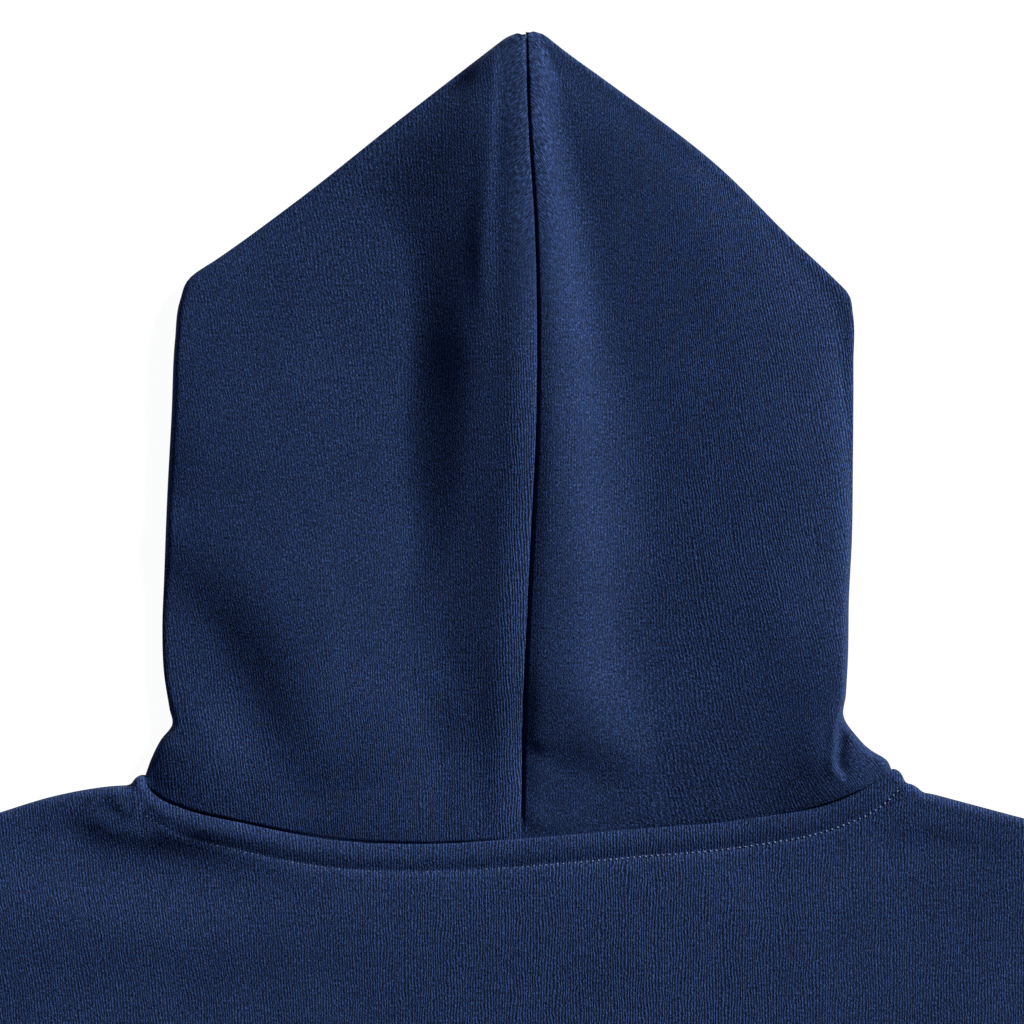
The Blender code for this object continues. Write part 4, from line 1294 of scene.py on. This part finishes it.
@dataclass(frozen=True)
class Sleeve:
    """One sleeve, a tube from the armhole to the cuff seam, as it lies on the right."""

    body: Body = Body()
    wall: float = 2.2
    height: float = 6.2
    roll: EdgeRoll = EdgeRoll(4.2, 3.1)
    top: Table = (
        (275.0, -12.0), (318.0, -34.0), (375.0, -75.0),
        (450.0, -138.0), (540.0, -217.0), (620.0, -289.0),
        (661.0, -328.0), (677.0, -345.0), (685.7, -360.7),
    )
    under: Table = (
        (300.0, -257.0), (335.0, -284.0), (400.0, -323.0), (490.0, -372.0),
        (560.0, -411.0), (592.0, -428.5), (608.0, -434.5), (621.3, -437.3),
    )
    columns: int = 44  # points across the upper layer
    # The right sleeve's folds and the left one's
    folds: tuple[tuple[Fold, ...], tuple[Fold, ...]] = (
        (
            Fold("underarm", (
                (305.0, -240.0, -2.2, 14.0, 12.0), (345.0, -205.0, -2.0, 15.0, 13.0),
                (395.0, -160.0, -0.5, 14.0, 14.0),
            )),
            Fold("upper arm", (
                (318.0, -252.0, -0.8, 10.0, 10.0), (375.0, -255.0, -1.8, 13.0, 12.0),
                (440.0, -235.0, -0.6, 14.0, 12.0),
            )),
            Fold("elbow", (
                (430.0, -330.0, -1.6, 11.0, 12.0), (470.0, -290.0, -2.0, 12.0, 13.0),
                (505.0, -262.0, -0.6, 12.0, 12.0),
            )),
            Fold("forearm", (
                (520.0, -372.0, -0.6, 10.0, 10.0), (560.0, -345.0, -1.6, 11.0, 12.0),
                (588.0, -316.0, -0.8, 10.0, 10.0),
            )),
            Fold("cuff blouse", (
                (600.0, -415.0, 0.8, 9.0, 9.0), (628.0, -385.0, 1.6, 11.0, 10.0),
                (664.0, -350.0, 0.8, 9.0, 9.0),
            )),
        ),
        (
            Fold("underarm", (
                (302.0, -235.0, -2.0, 13.0, 13.0), (350.0, -212.0, -2.2, 16.0, 12.0),
                (402.0, -178.0, -0.4, 14.0, 14.0),
            )),
            Fold("upper arm", (
                (330.0, -268.0, -0.6, 10.0, 10.0), (390.0, -268.0, -1.6, 12.0, 13.0),
                (452.0, -240.0, -0.8, 13.0, 12.0),
            )),
            Fold("elbow", (
                (448.0, -340.0, -1.4, 12.0, 11.0), (484.0, -304.0, -2.2, 13.0, 12.0),
                (526.0, -270.0, -0.4, 12.0, 12.0),
            )),
            Fold("forearm", (
                (540.0, -385.0, -0.8, 9.0, 10.0), (574.0, -352.0, -1.4, 11.0, 11.0),
                (600.0, -322.0, -0.5, 10.0, 10.0),
            )),
            Fold("cuff blouse", (
                (604.0, -418.0, 1.0, 9.0, 9.0), (634.0, -384.0, 1.4, 10.0, 11.0),
                (667.0, -352.0, 0.6, 9.0, 9.0),
            )),
        ),
    )

    def lines(self) -> Array:
        """The upper layer's rows, from the armhole to the cuff."""
        drops = np.linspace(0.0, self.body.armhole_drop, 60)
        tip_y = self.body.shoulder_tip[1]
        arm = np.column_stack([read(self.body.widths, drops), tip_y - drops])
        arm = beside(arm, HALF_SEAM)
        arm[0] = (self.body.shoulder_tip[0] + HALF_SEAM, tip_y)
        middle = np.linspace(0.02, 0.98, 74)
        stations = np.r_[0.0, 0.002, 0.005, 0.01, middle, 0.99, 0.995, 0.998, 1.0]
        tops, unders = along(self.top, stations), along(self.under, stations)
        rows = []
        for station, start, end in zip(stations, tops, unders):
            width = float(np.linalg.norm(end - start))
            shares = spread(width, EDGE_STEPS, EDGE_STEPS[::-1], self.columns)
            row = straight(start, end, shares)
            curve = along(arm, shares) - straight(arm[0], arm[-1], shares)
            rows.append(row + curve * (1 - station) ** 2)
        lines = np.array(rows)
        lines[0, 0], lines[0, -1] = arm[0], arm[-1]
        lines[-1] -= Cuff(self).heading() * HALF_SEAM
        return lines

    def cut(self, side: Side) -> CutPiece:
        """One sleeve's cut piece."""
        lines = self.lines()
        folds = self.folds[0 if side is Side.RIGHT else 1]
        height = self.height + folded(lines, folds) - by_seams(lines, [lines[0], lines[-1]])
        tube = Tube(lines, np.maximum(height, LOWEST), self.roll)
        return CutPiece(
            f"sleeve_{side.name.lower()}", tube.points() * (side.value, 1.0, 1.0), self.wall,
            (0.52, 0.56), 0.175, ("floor",), ring=True, upright=False,
        )


@dataclass(frozen=True)
class Ribbing:
    """How a ribbed band is knitted: the ribs on its upper layer and their height."""

    ribs: int
    height: float = 5.4  # the upper layer's outer face, midway up its ribs
    raise_by: float = 0.95  # how far the ribs stand out
    wall: float = 1.5
    roll: EdgeRoll = EdgeRoll(3.4, 2.7)
    points_a_rib: int = 6

    def shares(self, width: float) -> Array:
        """Places across the band, over its edge rolls and over each rib."""
        inner = self.ribs * self.points_a_rib
        return spread(width, EDGE_STEPS, EDGE_STEPS[::-1], inner)

    def relief(self, shares: Array) -> Array:
        """How far the ribs stand out at these shares of the width."""
        wave = 0.5 - 0.5 * np.cos(math.tau * self.ribs * shares)
        return self.raise_by * np.sqrt(wave)

    def band(self, lines: Array, shares: Array) -> Array:
        """The outer face of a ribbed tube."""
        number, count = np.arange(len(lines), dtype=float)[:, None], len(lines)
        ends = ease(number, 0.0, 3.0) * ease(number, count - 1.0, count - 4.0)
        ribs = self.relief(shares)[None] * (0.35 + 0.65 * ends)
        return Tube(lines, self.height - self.raise_by / 2 + ribs, self.roll).points()

    def tube(self, rows: Table, downs: Array, middle: Array, heading: Array) -> Array:
        """The outer face of a ribbed band.

        Args:
            rows: distance from its seam, and its half width there.
            downs: how far from the seam its points lie.
            middle: the seam's middle.
            heading: the way the band points, square to the seam.

        Returns:
            Its points, all round.
        """
        across = np.array((-heading[1], heading[0]))
        shares = self.shares(2 * rows[0][1])
        lines = []
        for down, half in zip(downs, read(rows, downs)):
            centre = middle + heading * down
            lines.append(straight(centre + across * half, centre - across * half, shares))
        return self.band(np.array(lines), shares)


@dataclass(frozen=True)
class Cuff:
    """A ribbed cuff, as it lies on the right."""

    sleeve: Sleeve = Sleeve()
    ribbing: Ribbing = Ribbing(ribs=26)
    # Distance from the cuff seam, and half width
    rows: Table = (
        (0.0, 50.0), (4.0, 49.0), (12.0, 47.5), (28.0, 46.25),
        (42.0, 46.0), (58.0, 46.75), (70.0, 48.0),
    )

    def heading(self) -> Array:
        """The way the cuff points, square to its seam."""
        across = np.array(self.sleeve.top[-1]) - np.array(self.sleeve.under[-1])
        across /= np.linalg.norm(across)
        return np.array((across[1], -across[0]))

    def cut(self, side: Side) -> CutPiece:
        """One cuff's cut piece."""
        middle = (np.array(self.sleeve.top[-1]) + np.array(self.sleeve.under[-1])) / 2
        downs = np.r_[HALF_SEAM, 1.0, 2.5, np.linspace(5.0, 65.0, 13), 67.5, 69.2, 70.0]
        points = self.ribbing.tube(self.rows, downs, middle, self.heading())
        return CutPiece(
            f"cuff_{side.name.lower()}", points * (side.value, 1.0, 1.0), self.ribbing.wall,
            (0.22, 0.08), 0.0165, ("floor",), ring=True, upright=False,
        )


@dataclass(frozen=True)
class Waistband:
    """The ribbed band round the hem."""

    body: Body = Body()
    ribbing: Ribbing = Ribbing(ribs=132, points_a_rib=5)
    # Distance from the hem seam, and half width
    rows: Table = ((0.0, 268.0), (4.0, 265.6), (14.0, 262.0), (40.0, 262.4), (65.0, 264.0))

    def cut(self) -> CutPiece:
        """The band's cut piece."""
        hem = self.body.shoulder_tip[1] - self.body.widths[-1][0]
        downs = np.r_[HALF_SEAM, 1.0, 2.5, np.linspace(6.0, 59.0, 8), 62.0, 64.0, 65.0]
        middle, heading = np.array((0.0, hem)), np.array((0.0, -1.0))
        return CutPiece(
            "waistband", self.ribbing.tube(self.rows, downs, middle, heading), self.ribbing.wall,
            (1.10, 0.07), 0.077, ("floor",), ring=True, upright=False,
        )


# --------------------------------------------------------------------- sewing


@dataclass(frozen=True)
class Topstitch:
    """The row of stitches that holds the rolled neck edge down."""

    body: Body = Body()
    pitch: float = 2.36  # from one stitch to the next
    length: float = 0.98  # what shows of one stitch
    thickness: float = 0.8
    sink: float = 0.26  # how deep a stitch lies in the cloth ...
    sink_left: float = 0.45  # ... and how much deeper at the left end
    turn_varies: float = 0.05  # how much the stitches differ in turn, size and depth
    size_varies: float = 0.07
    depth_varies: float = 0.06
    seed: int = 7

    def line(self) -> Array:
        """Where the stitches lie, at the band's lower edge, with their height."""
        points = self.body.panel(as_front=False).points[1:80]
        columns = points[:, (points[0, :, 0] > -151.0) & (points[0, :, 0] < 152.4)]
        past = distance_to(columns[..., :2], self.body.neck.back())
        past = past - self.body.band.width(columns[..., 0])
        places = []
        for column, beyond in zip(np.moveaxis(columns, 1, 0), past.T):
            places.append([np.interp(-0.1, beyond, column[:, k]) for k in range(3)])
        return np.array(places)

    def stitch(self) -> bpy.types.Object:
        """One stitch: a short round of thread whose ends dip into the cloth."""
        bpy.ops.object.select_all(action="DESELECT")
        bpy.ops.mesh.primitive_uv_sphere_add(segments=8, ring_count=5, radius=0.5)
        stitch = bpy.context.object
        turned = np.array([vertex.co for vertex in stitch.data.vertices])
        along_x = turned[:, [2, 1, 0]] * (self.length, self.thickness, self.thickness) * MM
        stitch.data.vertices.foreach_set("co", along_x.astype(np.float32).ravel())
        return stitch

    def placed(self, shape: Array, at: Array, ahead: Array, rng: np.random.Generator) -> Array:
        """One stitch's points in their place, none quite like the next.

        Args:
            shape: the stitch's points about its own middle.
            at: its place in the row.
            ahead: the way the row runs there.
            rng: the source of its small differences.

        Returns:
            The points, in metres.
        """
        turn = math.atan2(ahead[1], ahead[0]) + rng.normal(0.0, self.turn_varies)
        sized = shape * (1.0 + rng.normal(0.0, self.size_varies))
        cos, sin = math.cos(turn), math.sin(turn)
        x, y, z = sized.T
        extra = self.sink_left * float(ease(at[0], 60.0, -10.0))
        deep = self.sink + extra + abs(rng.normal(0.0, self.depth_varies))
        lift = (0.0, NECK_ABOVE_ORIGIN, self.thickness / 2 - deep)
        return np.column_stack([x * cos - y * sin, x * sin + y * cos, z]) + (at + lift) * MM

    def lay(self) -> list[bpy.types.Object]:
        """Lays one stitch after the other."""
        line = self.line()
        place = np.r_[0.0, np.cumsum(np.linalg.norm(np.diff(line[:, :2], axis=0), axis=1))]
        pattern = self.stitch()
        shape = np.array([vertex.co for vertex in pattern.data.vertices])
        rng = np.random.default_rng(self.seed)
        copies = []
        for number in range(int(place[-1] / self.pitch)):
            at = (number + 0.5) * self.pitch
            spot, ahead = (
                np.array([np.interp(reach, place, line[:, k]) for k in range(3)])
                for reach in (at, at + 0.6)
            )
            copy = pattern.copy()
            copy.data = pattern.data.copy()
            bpy.context.collection.objects.link(copy)
            points = self.placed(shape, spot, ahead - spot, rng)
            copy.data.vertices.foreach_set("co", points.astype(np.float32).ravel())
            copies.append(copy)
        bpy.data.objects.remove(pattern, do_unlink=True)
        return copies

    def build(self, tailor: Tailor, finish: ThreadFinish) -> None:
        """Lays the whole row as one joined mesh."""
        stitches = self.lay()
        count = len(stitches)
        bpy.ops.object.select_all(action="DESELECT")
        for stitch in stitches:
            stitch.select_set(True)
        bpy.context.view_layer.objects.active = stitches[0]
        bpy.ops.object.join()
        row = bpy.context.object
        row.name = row.data.name = "neck_topstitch"
        bpy.ops.object.shade_smooth()
        row.data.materials.append(tailor.material(finish))
        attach(row, "root")
        log.info("%s: %d stitches", row.name, count)


# --------------------------------------------------------------------- studio


@dataclass(frozen=True)
class Studio:
    """The table, the light and the camera straight above the hood."""

    frame_width: float = 0.4096  # metres of table that the picture shows
    frame_centre: tuple[float, float] = (-0.0044, 0.4808)
    lens: float = 200.0
    sensor: float = 36.0
    sun_azimuth: float = 36.0  # from +x towards +y
    sun_height: float = 20.0
    sun_strength: float = 8.15
    sun_spread: float = 12.0
    sky: Row = (0.025, 0.06, 0.13)
    horizon: Row = (0.2, 0.215, 0.24)
    ramp: tuple[float, float] = (0.04, 0.3)  # where the horizon's colour ends and the sky's starts
    cloth_height: float = 3.4  # the middle height of what the picture shows, in millimetres

    def floor(self) -> None:
        """Adds the white table top."""
        bpy.ops.object.select_all(action="DESELECT")
        bpy.ops.mesh.primitive_plane_add(size=60.0)
        floor = bpy.context.object
        floor.name = "floor"
        floor.data.materials.append(FloorFinish().build())
        floor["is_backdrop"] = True

    def light(self) -> None:
        """Adds one broad low light and a soft sky that is paler at the horizon."""
        bpy.ops.object.light_add(type="SUN")
        sun = bpy.context.object
        sun.name = "window_light"
        sun.data.energy = self.sun_strength
        sun.data.angle = math.radians(self.sun_spread)
        turn = math.radians(self.sun_azimuth)
        sun.rotation_euler = (0.0, math.radians(90.0 - self.sun_height), turn)
        world = bpy.data.worlds.new("soft_room")
        bpy.context.scene.world = world
        world.use_nodes = True
        tree = world.node_tree
        view = tree.nodes.new("ShaderNodeTexCoord")
        split = tree.nodes.new("ShaderNodeSeparateXYZ")
        ramp = tree.nodes.new("ShaderNodeValToRGB")
        stops = zip(ramp.color_ramp.elements, self.ramp, (self.horizon, self.sky))
        for stop, place, colour in stops:
            stop.position, stop.color = place, (*colour, 1.0)
        tree.links.new(view.outputs["Generated"], split.inputs[0])
        tree.links.new(split.outputs["Z"], ramp.inputs["Fac"])
        tree.links.new(ramp.outputs[0], tree.nodes["Background"].inputs["Color"])

    def camera(self) -> None:
        """Adds the camera, straight above the hood."""
        bpy.ops.object.camera_add()
        camera = bpy.context.object
        camera.name = "overhead_camera"
        camera.data.lens = self.lens
        camera.data.sensor_width = self.sensor
        distance = self.frame_width * self.lens / self.sensor
        camera.location = (*self.frame_centre, distance + self.cloth_height * MM)
        camera.data.clip_start, camera.data.clip_end = 0.01, 100.0
        bpy.context.scene.camera = camera

    def build(self) -> None:
        """Sets up the table, light, camera and view."""
        self.camera()
        self.floor()
        self.light()
        bpy.context.scene.view_settings.view_transform = "Standard"


# ----------------------------------------------------------------------- main


def corners() -> list[list[float]]:
    """The model's lowest and highest corners as plain numbers."""
    return [[float(value) for value in corner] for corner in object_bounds()]


def main() -> None:
    """Dresses the hoodie piece by piece."""
    logging.basicConfig(level=logging.INFO, format="%(name)s: %(message)s")
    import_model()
    Studio().build()

    tailor = Tailor()
    navy = (0.01105, 0.0217, 0.0602)
    fleece = KnitFinish("navy_fleece_body", "fleece", navy, lean=0.03)
    hood_knit = {
        Side.LEFT: KnitFinish("navy_fleece_left", "fleece", navy, lean=-0.08),
        Side.RIGHT: KnitFinish("navy_fleece_right", "fleece", navy, lean=0.03),
    }
    rib = KnitFinish("navy_rib_knit", "rib", (0.013, 0.0245, 0.0665), contrast=0.5, sheen=0.04)
    body, hood, sleeve, cuff = Body(), Hood(), Sleeve(), Cuff()
    pieces = (
        (body.panel(as_front=True), fleece),
        (body.panel(as_front=False), fleece),
        *((hood.panel(side), hood_knit[side]) for side in Side),
        *((sleeve.cut(side), fleece) for side in Side),
        *((cuff.cut(side), rib) for side in Side),
        (Waistband().cut(), rib),
    )
    for piece, finish in pieces:
        tailor.sew(piece, finish)
    Topstitch().build(tailor, ThreadFinish())


if __name__ == "__main__":
    main()
